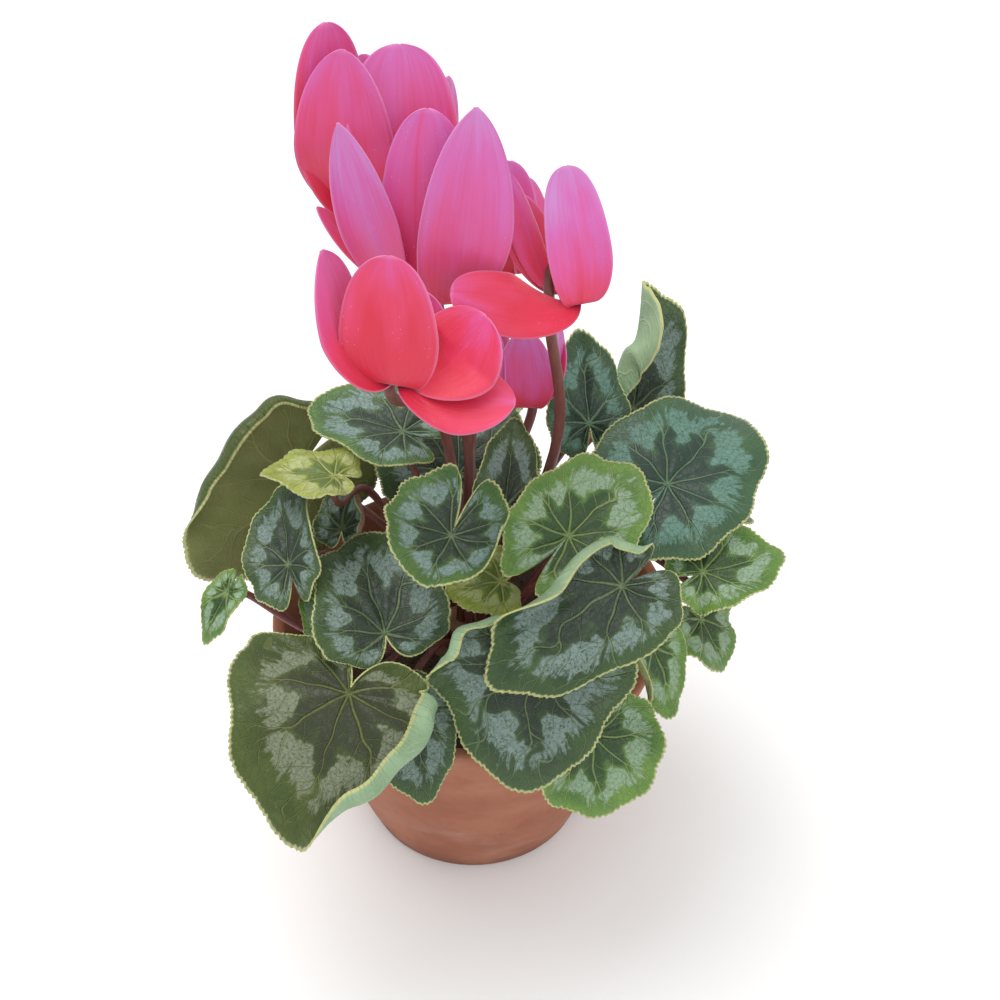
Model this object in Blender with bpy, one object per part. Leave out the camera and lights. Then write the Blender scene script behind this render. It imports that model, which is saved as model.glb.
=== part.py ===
"""Potted cyclamen: a tapered clay pot of soil, a tuber with its stalks, leaf blades and nodding flowers.

Metres, +Z up. The origin is the middle of the pot's underside and the front of the plant faces -Y.
The tables below are in millimetres and degrees.
"""
import math
import random
from collections import namedtuple

import bmesh
import bpy
import numpy as np

MM = 0.001
GAP = 0.3 * MM  # air between pieces that touch

# Pot
POT_BASE_RADIUS = 0.050
POT_HEIGHT = 0.117
POT_FLARE = 0.30  # gain in radius for each unit of height
POT_WALL = 0.0055
POT_FLOOR = 0.008
POT_LIP = 0.002
POT_SIDES = 44
POT_FOOT_EDGE = 0.001  # chamfer round the foot
DRAIN_HOLES = 3
DRAIN_SIDES = 16
DRAIN_RADIUS = 0.004
DRAIN_CIRCLE = 0.025

# Soil and tuber
SOIL_TOP = 0.103
SOIL_EDGE = 0.101  # its height where it meets the pot and the tuber
SOIL_LUMP = 0.0016
SOIL_SIDES = 32
SOIL_SEED = 7
TUBER_RADIUS = 0.021
TUBER_BOTTOM = 0.086
TUBER_TOP = 0.108
TUBER_SIDES = 20
ROOT_DEPTH = 8 * MM  # how deep each stalk is sunk in the tuber

# Stalks: radii at the tuber and at the far end, and the circle that they rise from
LEAF_STALK_RADII = (1.8 * MM, 1.5 * MM)
LEAF_STALK_SIDES = 5
LEAF_ROOT_CIRCLE = 11 * MM
FLOWER_STALK_RADII = (2.2 * MM, 1.7 * MM)
FLOWER_STALK_SIDES = 7
FLOWER_ROOT_CIRCLE = 5 * MM
FLOWER_ROOT_STEP = 2.4  # radians from one flower's root to the next
PATH_STEPS = 2

# Blades
BLADE_THICKNESS = 0.8 * MM
BLADE_TEETH = 14
TOOTH_DEPTH = 0.075
BLADE_FLANK = 0.82  # the margin's distance beside the stalk, as a share of that ahead of it
BLADE_CORNERS = 9
NOTCH = 0.14  # half width of the notch between the lobes, in radians round the stalk
HINGE = 0.7  # share of the way out at which most margins start to fold up
FLAP_EASE = 0.5  # radians round the stalk over which a fold sets in
CURL_STEPS = 24
LARGE_BLADE = 43  # longer blades have one more ring of points
STALK_TO_BLADE = 1.9 * MM

# Flowers, in millimetres; profiles are (radius, height above the mouth)
PETAL_THICKNESS = 0.8 * MM
PETAL_ROWS = (0, 0.2, 0.4, 0.6, 0.8, 0.93, 1)
PETAL_COLUMNS = (-1, -1 / 3, 1 / 3, 1)
PETAL_END = 0.05  # share of its width that a petal keeps at the very tip
PETAL_TURN_LENGTH = 0.625  # share of the petal over which its blade turns
MOUTH_RADIUS = 4.6
TUBE_INSIDE = ((1.8, 5.8), (3.2, 4.0), (3.2, 0.5))
TUBE_OUTSIDE = ((4.0, -0.8), (5.5, -0.6), (5.5, 1.0), (4.2, 3.0), (3.4, 6.8), (2.6, 7.0))
TUBE_SIDES = 8
CALYX = ((3.6, 7.4), (3.6, 8.4), (2.0, 11.0))
CALYX_SIDES = 8
# The stalk's hook over a flower: (height above the mouth, distance to the stalk's side)
HOOK = ((-12, 8.2), (-2, 8.6), (8, 8.6), (14.5, 4.3), (9.3, 0))

# A margin folded up over the blade: the direction of its middle (from the tip, to the right side), half
# its span round the stalk, how far it turns, and the share of the way out at which it starts. A fold
# under the blade turns the other way.
Flap = namedtuple("Flap", "middle span turn hinge", defaults=(HINGE,))

# A leaf blade: where its stalk meets it, the way its midrib runs (heading from +X, rise, roll), its
# size, how far each half is folded up along the midrib (keel), how far its left and right margins
# curl up, how far its tip and its lobes droop, its edge wave, how far back its lobes reach, how much
# narrower its shoulders are (taper), and its folded margin.
Leaf = namedtuple(
    "Leaf", "base heading rise roll length width keel curl_left curl_right droop lobes wave back taper flap",
    defaults=(0.05, Flap(0, 0, 0)))

LEAVES = {
    "leaf_front_left_large": Leaf(
        (-42.5, -91, 159.5), -116, -32, 10, 60, 98, 4, 38, -30, 20, 10, 2.0, 0.35, 0.08, Flap(-75, 75, 190)),
    "leaf_front_left_inner": Leaf(
        (-30, -71, 170), 106, 26, 5, 50, 54, 8, 10, 20, 30, 10, 1.5, 0.3, 0.0),
    "leaf_front_left_strip": Leaf((-47, -64, 160), 118, 21, 18, 34, 28, 5, 0, 0, 20, 10, 1.0, 0.4),
    "leaf_front_centre_large": Leaf(
        (23.5, -88, 174), -95, -52, 0, 53, 80, 4, -20, -10, 20, -10, 2.0, 0.5, 0.14, Flap(140, 70, 195)),
    "leaf_front_centre_oval": Leaf(
        (56, -77, 199), -149, -18, 30, 60, 52, 8, -15, -10, 25, 10, 1.5, 0.4, 0.0, Flap(100, 75, 190, 0.58)),
    "leaf_front_right_low": Leaf((47, -93, 138), -80, -52, 0, 33, 54, 6, 15, 15, 20, 10, 1.5, 0.7, -0.03),
    "leaf_centre_left_cup": Leaf((-5, -54, 203), -110, -15, 10, 27, 56, 12, 95, 30, -25, -30, 1.5, 1.3, 0.0),
    "leaf_centre_right_bright": Leaf(
        (38, -50, 199), 50, 12, -25, 44, 50, 8, 15, 20, 10, -10, 1.5, 0.9, 0.0),
    "leaf_right_large": Leaf((78, -14, 194), 50, 14, -14, 54, 68, 8, -15, -20, 25, 10, 2.0, 0.8, 0.0),
    "leaf_upper_left": Leaf((-25, 1, 209), 157, 8, 12, 43, 44, 8, 15, 20, 20, 10, 1.5, 0.5, 0.0),
    "leaf_left_yellow": Leaf((-50, -23, 206), 168, 4, -6, 30, 36, 5, 10, 10, 15, 10, 1.5, 0.4),
    "leaf_left_back_olive": Leaf(
        (-72, 22, 172), -139, -29, -98, 60, 98, 4, 10, 10, -10, 0, 2.0, 0.8, 0.0, Flap(-95, 80, -150)),
    "leaf_left_dark": Leaf((-67, -46, 182), 102, 20, 30, 38, 36, 10, 20, 40, 15, 10, 1.5, 0.6, 0.0),
    "leaf_left_small_low": Leaf((-92, -46, 168), -130, -40, 0, 23, 18, 6, 0, 0, 20, 10, 1.0, 0.5),
    "leaf_right_outer": Leaf(
        (90, -45, 176), 13, 11, -20, 34, 40, 8, 0, 10, 20, 10, 1.5, 0.5, 0.05, Flap(-100, 60, 180)),
    "leaf_right_lower": Leaf((90, -50, 156), -40, -45, 0, 24, 34, 6, -10, 0, 20, 10, 1.5, 0.5),
    "leaf_right_hanging": Leaf(
        (70, -68, 160), -55, -62, 0, 32, 28, 6, 10, 0, 10, 10, 1.0, 0.5, 0.05, Flap(90, 60, 180)),
    "leaf_back_dark": Leaf((49, 22, 197), 100, 60, 0, 39, 36, 6, 0, 0, 10, 10, 1.5, 0.5),
    "leaf_back_right_rolled": Leaf(
        (69, 44, 188), 74, 67, -32, 54, 44, 6, 10, 20, 10, 10, 1.5, 0.42, -0.12, Flap(-85, 85, 200, 0.45)),
    "leaf_centre_back": Leaf((15, -22, 190), 82, 42, -5, 38, 28, 8, 0, 0, 20, 10, 1.0, 0.4),
    "leaf_back_left_olive": Leaf((-29, 34, 188), 97, 30, 0, 24, 24, 8, 0, 0, 20, 10, 1.0, 0.5),
    "leaf_front_left_low": Leaf((-22, -88, 146), -68, -55, 0, 38, 38, 6, 0, 0, 15, 10, 1.5, 0.5),
    "leaf_centre_low": Leaf((13, -54, 180), -164, 6, 20, 22, 32, 6, 0, 0, 15, 10, 1.0, 0.4),
    "leaf_left_inner_brown": Leaf(
        (-49.5, -17, 174), 87, 24, 12, 23, 25, 8, 10, 20, 15, 10, 1.0, 0.4, 0.0, Flap(75, 90, 170)),
    "leaf_back_left_low": Leaf((-62, 66, 150), 140, -34, 0, 43, 60, 8, -10, -10, 25, 10, 2.0, 0.5),
    "leaf_back_left_upper": Leaf((-36, 64, 164), 114, 0, 0, 38, 50, 8, -8, -8, 25, 10, 2.0, 0.5),
    "leaf_back_middle_low": Leaf((-6, 88, 150), 95, -42, 0, 43, 62, 8, -10, -10, 20, 10, 2.0, 0.6),
    "leaf_back_middle_upper": Leaf((-5, 38, 158), 92, 38, 0, 48, 74, 8, -8, -8, 20, 10, 2.0, 0.5),
    "leaf_back_right_low": Leaf((56, 76, 158), 52, -34, 0, 43, 58, 8, -10, -10, 25, 10, 2.0, 0.6),
    "leaf_back_right_side": Leaf((94, 32, 157), 18, -30, 0, 40, 54, 8, -10, -10, 25, 10, 2.0, 0.6),
}

# Stalks of some leaves bend round the blades beneath them: one point that the stalk passes.
STALK_BENDS = {
    "leaf_centre_right_bright": (32, -30, 168),
    "leaf_left_dark": (-56, -12, 156),
    "leaf_left_small_low": (-54, -42, 138),
    "leaf_left_yellow": (-38, 6, 172),
    "leaf_front_centre_large": (8, -46, 140),
    "leaf_centre_left_cup": (0, -34, 160),
    "leaf_right_outer": (56, -18, 166),
}

# A flower: the middle of its mouth, the lean of its crown (to +X, to +Y), the side on which its
# stalk comes up (heading), a point that the stalk passes, and its petals (the heading of the root on
# the mouth, the place of the tip, the width, the turn of the blade towards its tip, how far each side
# curls, and how pointed the tip is).
Petal = namedtuple("Petal", "side tip width turn cup_left cup_right point")
Flower = namedtuple("Flower", "mouth lean_x lean_y stalk_side bend petals")

FLOWERS = {
    "flower_top_left": Flower((-27, 7, 302), -6, 12, 65, (-2, 6, 222), (
        Petal(172, (-44, 20, 366), 30, 60, 60, 30, 0.5),
        Petal(208, (-38, 5, 363), 37, -50, 25, 10, 0.65),
        Petal(300, (-20, 16, 360), 40, 20, 20, 25, 0.42),
        Petal(350, (-4, 22, 346), 24, 20, 20, 20, 0.5),
        Petal(125, (-34, 36, 348), 26, 0, 20, 20, 0.5))),
    "flower_centre": Flower((-8, -19, 284), 0, 10, 90, (1, -8, 222), (
        Petal(205, (-38, -24, 351), 22, -50, 60, 10, 0.8),
        Petal(260, (-10, -16, 352), 34, -5, -20, -20, 0.5),
        Petal(292, (6, -28, 358), 34, 5, 25, 5, 0.75), Petal(30, (9, -3, 333), 22, 0, 20, 20, 0.6),
        Petal(165, (-49, -11, 314), 16, 0, 20, 20, 0.6))),
    "flower_lower_left": Flower((-18, -62, 280), 0, 8, 125, (-8, -15, 222), (
        Petal(190, (-42, -60, 326), 32, 30, 15, 25, 0.8),
        Petal(250, (-21, -67, 328), 33, -10, 25, 15, 0.5),
        Petal(335, (9, -58, 300), 34, -70, 15, 15, 0.5),
        Petal(290, (18, -73, 277), 28, -20, 10, 15, 0.65),
        Petal(70, (-11, -46, 302), 20, 0, 15, 15, 0.6))),
    "flower_right": Flower((39, -18.5, 283), 0, 8, 175, (34, -8, 206), (
        Petal(290, (35, -15, 331), 23, 20, 50, 20, 0.42),
        Petal(256, (-3, -48, 303), 23, 82, 20, 20, 0.45), Petal(118, (16, 0, 312), 20, 0, 20, 30, 0.4),
        Petal(140, (15, -1, 322), 12, 30, 60, 10, 0.6), Petal(20, (47, 3, 301), 16, 0, 15, 15, 0.5))),
    "flower_middle_back": Flower((16, 26, 268), 0, 10, 157, (4, 26, 228), (
        Petal(265, (17, 28, 311), 24, 0, 25, 25, 0.5), Petal(320, (24, 30, 303), 22, 0, 20, 20, 0.6),
        Petal(215, (5, 30, 301), 22, 0, 20, 20, 0.6), Petal(95, (12, 50, 297), 22, 0, 20, 20, 0.6),
        Petal(40, (28, 46, 287), 20, 0, 20, 20, 0.6))),
    "flower_low_back": Flower((24, 14, 215), 0, 8, 80, (14, 14, 165), (
        Petal(200, (12, 10, 250), 20, 0, 20, 20, 0.5), Petal(270, (22, 4, 253), 22, 0, 20, 20, 0.5),
        Petal(340, (35, 12, 250), 16, 0, 20, 20, 0.5), Petal(25, (36, 22, 244), 16, 0, 20, 20, 0.6),
        Petal(140, (11, 28, 244), 16, 0, 20, 20, 0.6))),
}


# Making pieces ----------------------------------------------------------------------------------

def make_material(name, colour, roughness):
    """A plain non-metal finish."""
    material = bpy.data.materials.new(name)
    material.use_nodes = True
    shader = material.node_tree.nodes["Principled BSDF"]
    shader.inputs["Base Color"].default_value = (*colour, 1.0)
    shader.inputs["Roughness"].default_value = roughness
    shader.inputs["Metallic"].default_value = 0.0
    material.diffuse_color = (*colour, 1.0)
    return material


def add_object(name, bm, material=None):
    """Turns a bmesh into an object whose faces point out."""
    bmesh.ops.recalc_face_normals(bm, faces=bm.faces[:])
    mesh = bpy.data.meshes.new(name)
    bm.to_mesh(mesh)
    bm.free()
    shape = bpy.data.objects.new(name, mesh)
    bpy.context.scene.collection.objects.link(shape)
    if material:
        mesh.materials.append(material)
    return shape


def apply_modifiers(shape):
    """Replaces the object's mesh by the one its modifiers give."""
    depsgraph = bpy.context.evaluated_depsgraph_get()
    finished = bpy.data.meshes.new_from_object(shape.evaluated_get(depsgraph))
    shape.modifiers.clear()
    shape.data = finished


def triangulate(shape):
    """Splits every face into triangles, so that faces that aren't flat have one shape only."""
    bm = bmesh.new()
    bm.from_mesh(shape.data)
    bmesh.ops.recalc_face_normals(bm, faces=bm.faces[:])
    bmesh.ops.triangulate(bm, faces=bm.faces[:])
    bm.to_mesh(shape.data)
    bm.free()


def turned(name, profile, sides, material=None):
    """Turns an outline of (radius, height) points, which starts and ends on the axis, about Z."""
    bm = bmesh.new()
    ring = [bm.verts.new((radius, 0, height)) for radius, height in profile]
    edges = [bm.edges.new(pair) for pair in zip(ring, ring[1:])]
    bmesh.ops.spin(
        bm, geom=ring + edges, cent=(0, 0, 0), axis=(0, 0, 1), angle=math.tau, steps=sides, use_merge=True)
    bmesh.ops.remove_doubles(bm, verts=bm.verts[:], dist=1e-6)
    return add_object(name, bm, material)


def circle(centre, side, other, radius, sides):
    """Points round a centre, in the plane of two unit directions."""
    angles = [math.tau * k / sides for k in range(sides)]
    return [centre + radius * (side * math.cos(a) + other * math.sin(a)) for a in angles]


def skinned(name, rings, material=None):
    """A closed body: walls from each ring of points to the next, and a cap on the first and last."""
    bm = bmesh.new()
    rows = [[bm.verts.new(point) for point in ring] for ring in rings]
    for low, high in zip(rows, rows[1:]):
        for k, corner in enumerate(low):
            n = (k + 1) % len(low)
            bm.faces.new((corner, low[n], high[n], high[k]))
    bm.faces.new(rows[0])
    bm.faces.new(rows[-1])
    return add_object(name, bm, material)


def fuse(name, pieces, material):
    """Joins closed, overlapping pieces into one body and takes the pieces away."""
    base = pieces[0]
    group = bpy.data.collections.new(f"{name}_pieces")
    bpy.context.scene.collection.children.link(group)
    for piece in pieces[1:]:
        group.objects.link(piece)
    union = base.modifiers.new("union", "BOOLEAN")
    union.operation = "UNION"
    union.operand_type = "COLLECTION"
    union.collection = group
    union.solver = "EXACT"
    apply_modifiers(base)
    for piece in pieces[1:]:
        bpy.data.objects.remove(piece)
    bpy.data.collections.remove(group)
    base.name = name
    base.data.name = name
    base.data.materials.clear()
    base.data.materials.append(material)
    return base


# Pot and soil -----------------------------------------------------------------------------------

def pot_radius(height):
    """Outer radius of the pot's tapered wall."""
    return POT_BASE_RADIUS + POT_FLARE * height


def soil_radius(height):
    """Radius of the soil against the inside of the wall."""
    return pot_radius(height) - POT_WALL - GAP


def build_pot(material):
    """A turned pot with a rounded lip and three drain holes off its centre."""
    top = pot_radius(POT_HEIGHT)
    inner = top - POT_WALL
    lip_side = POT_FLARE * POT_LIP
    lip_top = POT_LIP * 0.7
    profile = [
        (0, 0), (POT_BASE_RADIUS - POT_FOOT_EDGE, 0), (POT_BASE_RADIUS, POT_FOOT_EDGE),
        (top - lip_side, POT_HEIGHT - POT_LIP), (top - lip_top, POT_HEIGHT),
        (inner + lip_top, POT_HEIGHT), (inner - lip_side, POT_HEIGHT - POT_LIP),
        (pot_radius(POT_FLOOR) - POT_WALL, POT_FLOOR), (0, POT_FLOOR)]
    pot = turned("pot", profile, POT_SIDES, material)
    for number in range(DRAIN_HOLES):
        angle = math.tau * (number + 0.25) / DRAIN_HOLES
        place = (DRAIN_CIRCLE * math.cos(angle), DRAIN_CIRCLE * math.sin(angle), 0)
        bpy.ops.mesh.primitive_cylinder_add(
            vertices=DRAIN_SIDES, radius=DRAIN_RADIUS, depth=POT_FLOOR * 4, location=place)
        drill = bpy.context.object
        cut = pot.modifiers.new("drain", "BOOLEAN")
        cut.operation = "DIFFERENCE"
        cut.object = drill
        apply_modifiers(pot)
        bpy.data.objects.remove(drill)
    pot.data.shade_smooth()
    pot.data.set_sharp_from_angle(angle=math.radians(40))
    return pot


def build_soil(material):
    """The potting mix: it fills the pot, has a lumpy top and a round pocket for the tuber."""
    chance = random.Random(SOIL_SEED)
    side, other, up = np.identity(3)
    floor = POT_FLOOR + GAP
    pocket = TUBER_RADIUS + GAP
    edge = soil_radius(SOIL_TOP)

    def level(radius, height):
        return circle(up * height, side, other, radius, SOIL_SIDES)

    rings = [level(pocket, TUBER_BOTTOM - GAP), level(pocket, SOIL_EDGE)]
    for radius in (pocket + 0.010, pocket + 0.022, edge - 0.012):
        lumps = [up * chance.uniform(-1, 1) * SOIL_LUMP for _ in range(SOIL_SIDES)]
        rings.append([point + lump for point, lump in zip(level(radius, SOIL_EDGE + 0.001), lumps)])
    rings.append(level(edge - 0.0005, SOIL_EDGE))
    rings.append(level(soil_radius(floor), floor))
    soil = skinned("soil", rings, material)
    triangulate(soil)
    return soil


# Leaf blades ------------------------------------------------------------------------------------

def turn(vector, axis, degrees):
    """Turns a vector about a unit axis."""
    c, s = math.cos(math.radians(degrees)), math.sin(math.radians(degrees))
    return vector * c + np.cross(axis, vector) * s + axis * (vector @ axis) * (1 - c)


def leaf_frame(leaf):
    """The blade's own directions: along the midrib, to its right side, and up out of its face."""
    h, r = math.radians(leaf.heading), math.radians(leaf.rise)
    along = np.array([math.cos(r) * math.cos(h), math.cos(r) * math.sin(h), math.sin(r)])
    right = np.array([math.sin(h), -math.cos(h), 0.0])
    right = turn(right, along, -leaf.roll)
    return along, right, np.cross(right, along)


def heart_radius(leaf, angle):
    """Margin of a heart-shaped blade, as a share of its size, at an angle from the tip."""
    body = BLADE_FLANK + (1 - BLADE_FLANK) * np.clip(np.cos(angle), 0, 1) ** 3
    ahead = np.clip(np.abs(angle), 0, math.pi / 2)
    shoulder = 1 - leaf.taper * np.sin(2 * ahead) ** 2
    notch = 1 - 0.86 * np.exp(-(((math.pi - np.abs(angle)) / NOTCH) ** 2))
    corners = 1 + 0.03 * np.cos(BLADE_CORNERS * angle)
    return body * shoulder * notch * corners


def arc(distance, turn_rate):
    """Runs along a curve of constant turning: gives how far along and how far up it gets."""
    if turn_rate == 0:
        return distance, distance * 0
    return np.sin(turn_rate * distance) / turn_rate, (1 - np.cos(turn_rate * distance)) / turn_rate


def curled(distance, half, keel, curl):
    """Runs across half a blade whose turning grows towards its margin: how far out and up it gets."""
    steps = (np.arange(CURL_STEPS) + 0.5) / CURL_STEPS
    angle = keel + curl * np.outer(distance / half, steps) ** 2
    return distance * np.cos(angle).mean(axis=1), distance * np.sin(angle).mean(axis=1)


def bent(leaf, forward, sideways, lift):
    """Bends a flat blade along its keel, its curled margins, its drooping tip and its lobes."""
    along, right, up = leaf_frame(leaf)
    half = leaf.width / 2
    keel = math.radians(leaf.keel)
    out_left, up_left = curled(np.abs(sideways), half, keel, math.radians(leaf.curl_left))
    out_right, up_right = curled(np.abs(sideways), half, keel, math.radians(leaf.curl_right))
    across = np.where(sideways > 0, out_right, -out_left)
    lift = lift + np.where(sideways > 0, up_right, up_left)
    tip_rate = -math.radians(leaf.droop) / leaf.length
    lobe_rate = -math.radians(leaf.lobes) / (leaf.length * 0.5)
    tip_run, tip_up = arc(np.abs(forward), tip_rate)
    lobe_run, lobe_up = arc(np.abs(forward), lobe_rate)
    run = np.where(forward > 0, tip_run, -lobe_run)
    rise = np.where(forward > 0, tip_up, lobe_up)
    slope = np.where(forward > 0, tip_rate * forward, -lobe_rate * np.abs(forward))
    run = run - lift * np.sin(slope)
    rise = rise + lift * np.cos(slope)
    return np.array(leaf.base, float) + run[:, None] * along + across[:, None] * right + rise[:, None] * up


def unit(vectors):
    """The vectors' directions."""
    return vectors / np.maximum(np.linalg.norm(vectors, axis=1), 1e-9)[:, None]


def folded(flap, shape, angle, share):
    """Folds part of the margin up along its hinge line; shape places the blade's points before that."""
    hinge = np.minimum(share, flap.hinge)
    near = shape(angle, hinge)
    far = shape(angle, share) - near
    outward = shape(angle, hinge + 0.02) - near
    ring = shape(angle + 0.05, hinge) - shape(angle - 0.05, hinge)
    axis = unit(np.cross(outward, np.cross(ring, outward)))
    aside = np.abs((angle - math.radians(flap.middle) + math.pi) % math.tau - math.pi)
    inside = np.clip((math.radians(flap.span) - aside) / FLAP_EASE, 0, 1)
    turn = math.radians(flap.turn) * inside ** 2 * (3 - 2 * inside)
    swing = turn / 2 * (share - hinge) / (1 - flap.hinge)
    c, s = np.cos(swing)[:, None], np.sin(swing)[:, None]
    swung = far * c + np.cross(axis, far) * s + axis * (axis * far).sum(axis=1)[:, None] * (1 - c)
    return near + swung * np.sinc(swing / math.pi)[:, None]


def blade_points(leaf, angle, share):
    """Places points of the blade, given by their angle from the tip and their share of the way out."""
    def shape(angle, share):
        tooth = 1 - TOOTH_DEPTH * (0.5 - 0.5 * np.cos(BLADE_TEETH * angle))
        radius = heart_radius(leaf, angle) * tooth * share
        forward = radius * np.cos(angle) * leaf.length
        forward = np.where(forward < 0, forward * leaf.back, forward)
        sideways = radius * np.sin(angle) * leaf.width / 2 / BLADE_FLANK
        wave = leaf.wave * share ** 2 * np.sin(5 * angle + leaf.heading)
        return bent(leaf, forward, sideways, wave)

    return folded(leaf.flap, shape, angle, share) * MM


def sheet_mesh(name, points, faces):
    """An open sheet of triangles."""
    bm = bmesh.new()
    corners = [bm.verts.new(point) for point in points]
    for face in faces:
        bm.faces.new([corners[k] for k in face])
    return add_object(name, bm)


def thicken(sheet, thickness):
    """Gives a sheet an even thickness, half to each side."""
    wall = sheet.modifiers.new("thickness", "SOLIDIFY")
    wall.thickness = thickness
    wall.offset = 0
    apply_modifiers(sheet)
    triangulate(sheet)


def build_blade(name, leaf, material):
    """A toothed heart-shaped blade: rings of points about the stalk, then an even thickness."""
    ring = [math.tau * k / BLADE_TEETH - math.pi for k in range(BLADE_TEETH)]
    margin = [math.pi * k / BLADE_TEETH - math.pi for k in range(2 * BLADE_TEETH)]
    hinge = leaf.flap.hinge
    inner = (hinge / 2, hinge) if leaf.length > LARGE_BLADE else (hinge,)
    angles = np.array([0.0] + ring * len(inner) + margin)
    shares = np.array([0.0] + [share for share in inner for _ in ring] + [1.0] * len(margin))
    last = 1 + BLADE_TEETH * (len(inner) - 1)  # where the points of the last inner ring start
    rim = last + BLADE_TEETH
    faces = []
    for k in range(BLADE_TEETH):
        n = (k + 1) % BLADE_TEETH
        faces.append((0, 1 + k, 1 + n))
        for row in range(1, last, BLADE_TEETH):
            faces.append((row + k, row + BLADE_TEETH + k, row + BLADE_TEETH + n))
            faces.append((row + k, row + BLADE_TEETH + n, row + n))
        root, tooth, next_root = rim + 2 * k, rim + 2 * k + 1, rim + 2 * n
        faces.append((last + k, root, tooth))
        faces.append((last + k, tooth, last + n))
        faces.append((last + n, tooth, next_root))
    blade = sheet_mesh(name, blade_points(leaf, angles, shares), faces)
    blade.data.materials.append(material)
    thicken(blade, BLADE_THICKNESS)
    return blade


# Stalks -----------------------------------------------------------------------------------------

def smooth_path(points, steps):
    """A smooth curve through the points (Catmull-Rom), with a few steps between each two."""
    points = [np.array(p, float) for p in points]
    ends = [2 * points[0] - points[1]] + points + [2 * points[-1] - points[-2]]
    path = []
    for a, b, c, d in zip(ends, ends[1:], ends[2:], ends[3:]):
        for k in range(steps):
            t = k / steps
            path.append(0.5 * (2 * b + (c - a) * t + (2 * a - 5 * b + 4 * c - d) * t * t
                               + (3 * b - a - 3 * c + d) * t ** 3))
    path.append(points[-1])
    return path


def tube(name, path, radii, sides):
    """A closed round tube along a path."""
    rings = []
    side = np.cross(path[1] - path[0], (0.37, 0.93, 0.0))
    for number, point in enumerate(path):
        ahead = path[min(number + 1, len(path) - 1)] - path[max(number - 1, 0)]
        ahead = ahead / np.linalg.norm(ahead)
        side = side - ahead * (side @ ahead)
        side = side / np.linalg.norm(side)
        share = number / (len(path) - 1)
        radius = radii[0] * (1 - share) + radii[1] * share
        rings.append(circle(point, side, np.cross(ahead, side), radius, sides))
    return skinned(name, rings)


def stalk_root(angle, distance):
    """Where a stalk starts, inside the tuber."""
    return np.array([distance * math.cos(angle), distance * math.sin(angle), TUBER_TOP - ROOT_DEPTH])


def leaf_stalk_path(name, leaf):
    """From the tuber up and outwards, to just under the blade."""
    along, _, up = leaf_frame(leaf)
    base = np.array(leaf.base, float) * MM
    end = base - up * STALK_TO_BLADE
    under = end - up * 0.010 - along * 0.002
    root = stalk_root(math.atan2(base[1], base[0]), LEAF_ROOT_CIRCLE)
    bend = root + (under - root) * (0.42, 0.42, 0.58)
    bend[2] += 0.008
    if name in STALK_BENDS:
        bend = np.array(STALK_BENDS[name], float) * MM
    return smooth_path([root, bend, under, end], PATH_STEPS)


def flower_frame(flower):
    """The flower's own directions: from its mouth to its crown, to its stalk's side, and across."""
    crown = np.array([math.tan(math.radians(flower.lean_x)), math.tan(math.radians(flower.lean_y)), 1.0])
    crown = crown / np.linalg.norm(crown)
    a = math.radians(flower.stalk_side)
    side = np.array([math.cos(a), math.sin(a), 0.0])
    side = side - crown * (side @ crown)
    side = side / np.linalg.norm(side)
    return crown, side, np.cross(crown, side)


def flower_stalk_path(flower, number):
    """Up from the tuber, past the mouth on the stalk's side, over in a hook and down into the crown."""
    crown, side, _ = flower_frame(flower)
    mouth = np.array(flower.mouth, float)
    root = stalk_root(number * FLOWER_ROOT_STEP, FLOWER_ROOT_CIRCLE) / MM
    hook = [mouth + crown * height + side * distance for height, distance in HOOK]
    return [point * MM for point in smooth_path([root, flower.bend] + hook, PATH_STEPS)]


def flower_rings(flower, profile, sides):
    """Rings of points about the flower's axis, from a profile in millimetres."""
    crown, side, across = flower_frame(flower)
    mouth = np.array(flower.mouth, float) * MM
    return [circle(mouth + crown * height * MM, side, across, radius * MM, sides)
            for radius, height in profile]


def build_crown(material):
    """The half-sunk tuber, every leaf stalk, and every flower stalk with its calyx, in one body."""
    profile = [
        (0, TUBER_BOTTOM), (TUBER_RADIUS * 0.8, TUBER_BOTTOM), (TUBER_RADIUS, TUBER_BOTTOM + 0.006),
        (TUBER_RADIUS, TUBER_TOP - 0.005), (TUBER_RADIUS * 0.75, TUBER_TOP - 0.001), (0, TUBER_TOP)]
    pieces = [turned("tuber", profile, TUBER_SIDES)]
    for name, leaf in LEAVES.items():
        path = leaf_stalk_path(name, leaf)
        pieces.append(tube(f"{name}_stalk", path, LEAF_STALK_RADII, LEAF_STALK_SIDES))
    for number, (name, flower) in enumerate(FLOWERS.items()):
        path = flower_stalk_path(flower, number)
        pieces.append(tube(f"{name}_stalk", path, FLOWER_STALK_RADII, FLOWER_STALK_SIDES))
        pieces.append(skinned(f"{name}_calyx", flower_rings(flower, CALYX, CALYX_SIDES)))
    return fuse("crown", pieces, material)


# Flowers ----------------------------------------------------------------------------------------

def petal_width(along, point):
    """Share of the petal's full width: narrow at the mouth, broad past the middle, closing at the tip."""
    claw = 0.30 + 0.70 * np.sin(np.clip(along / 0.62, 0, 1) * math.pi / 2) ** 1.2
    tip = (1 - np.clip((along - 0.45) / 0.55, 0, 1) ** 2.6) ** point
    return np.maximum(claw * tip, PETAL_END)


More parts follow.
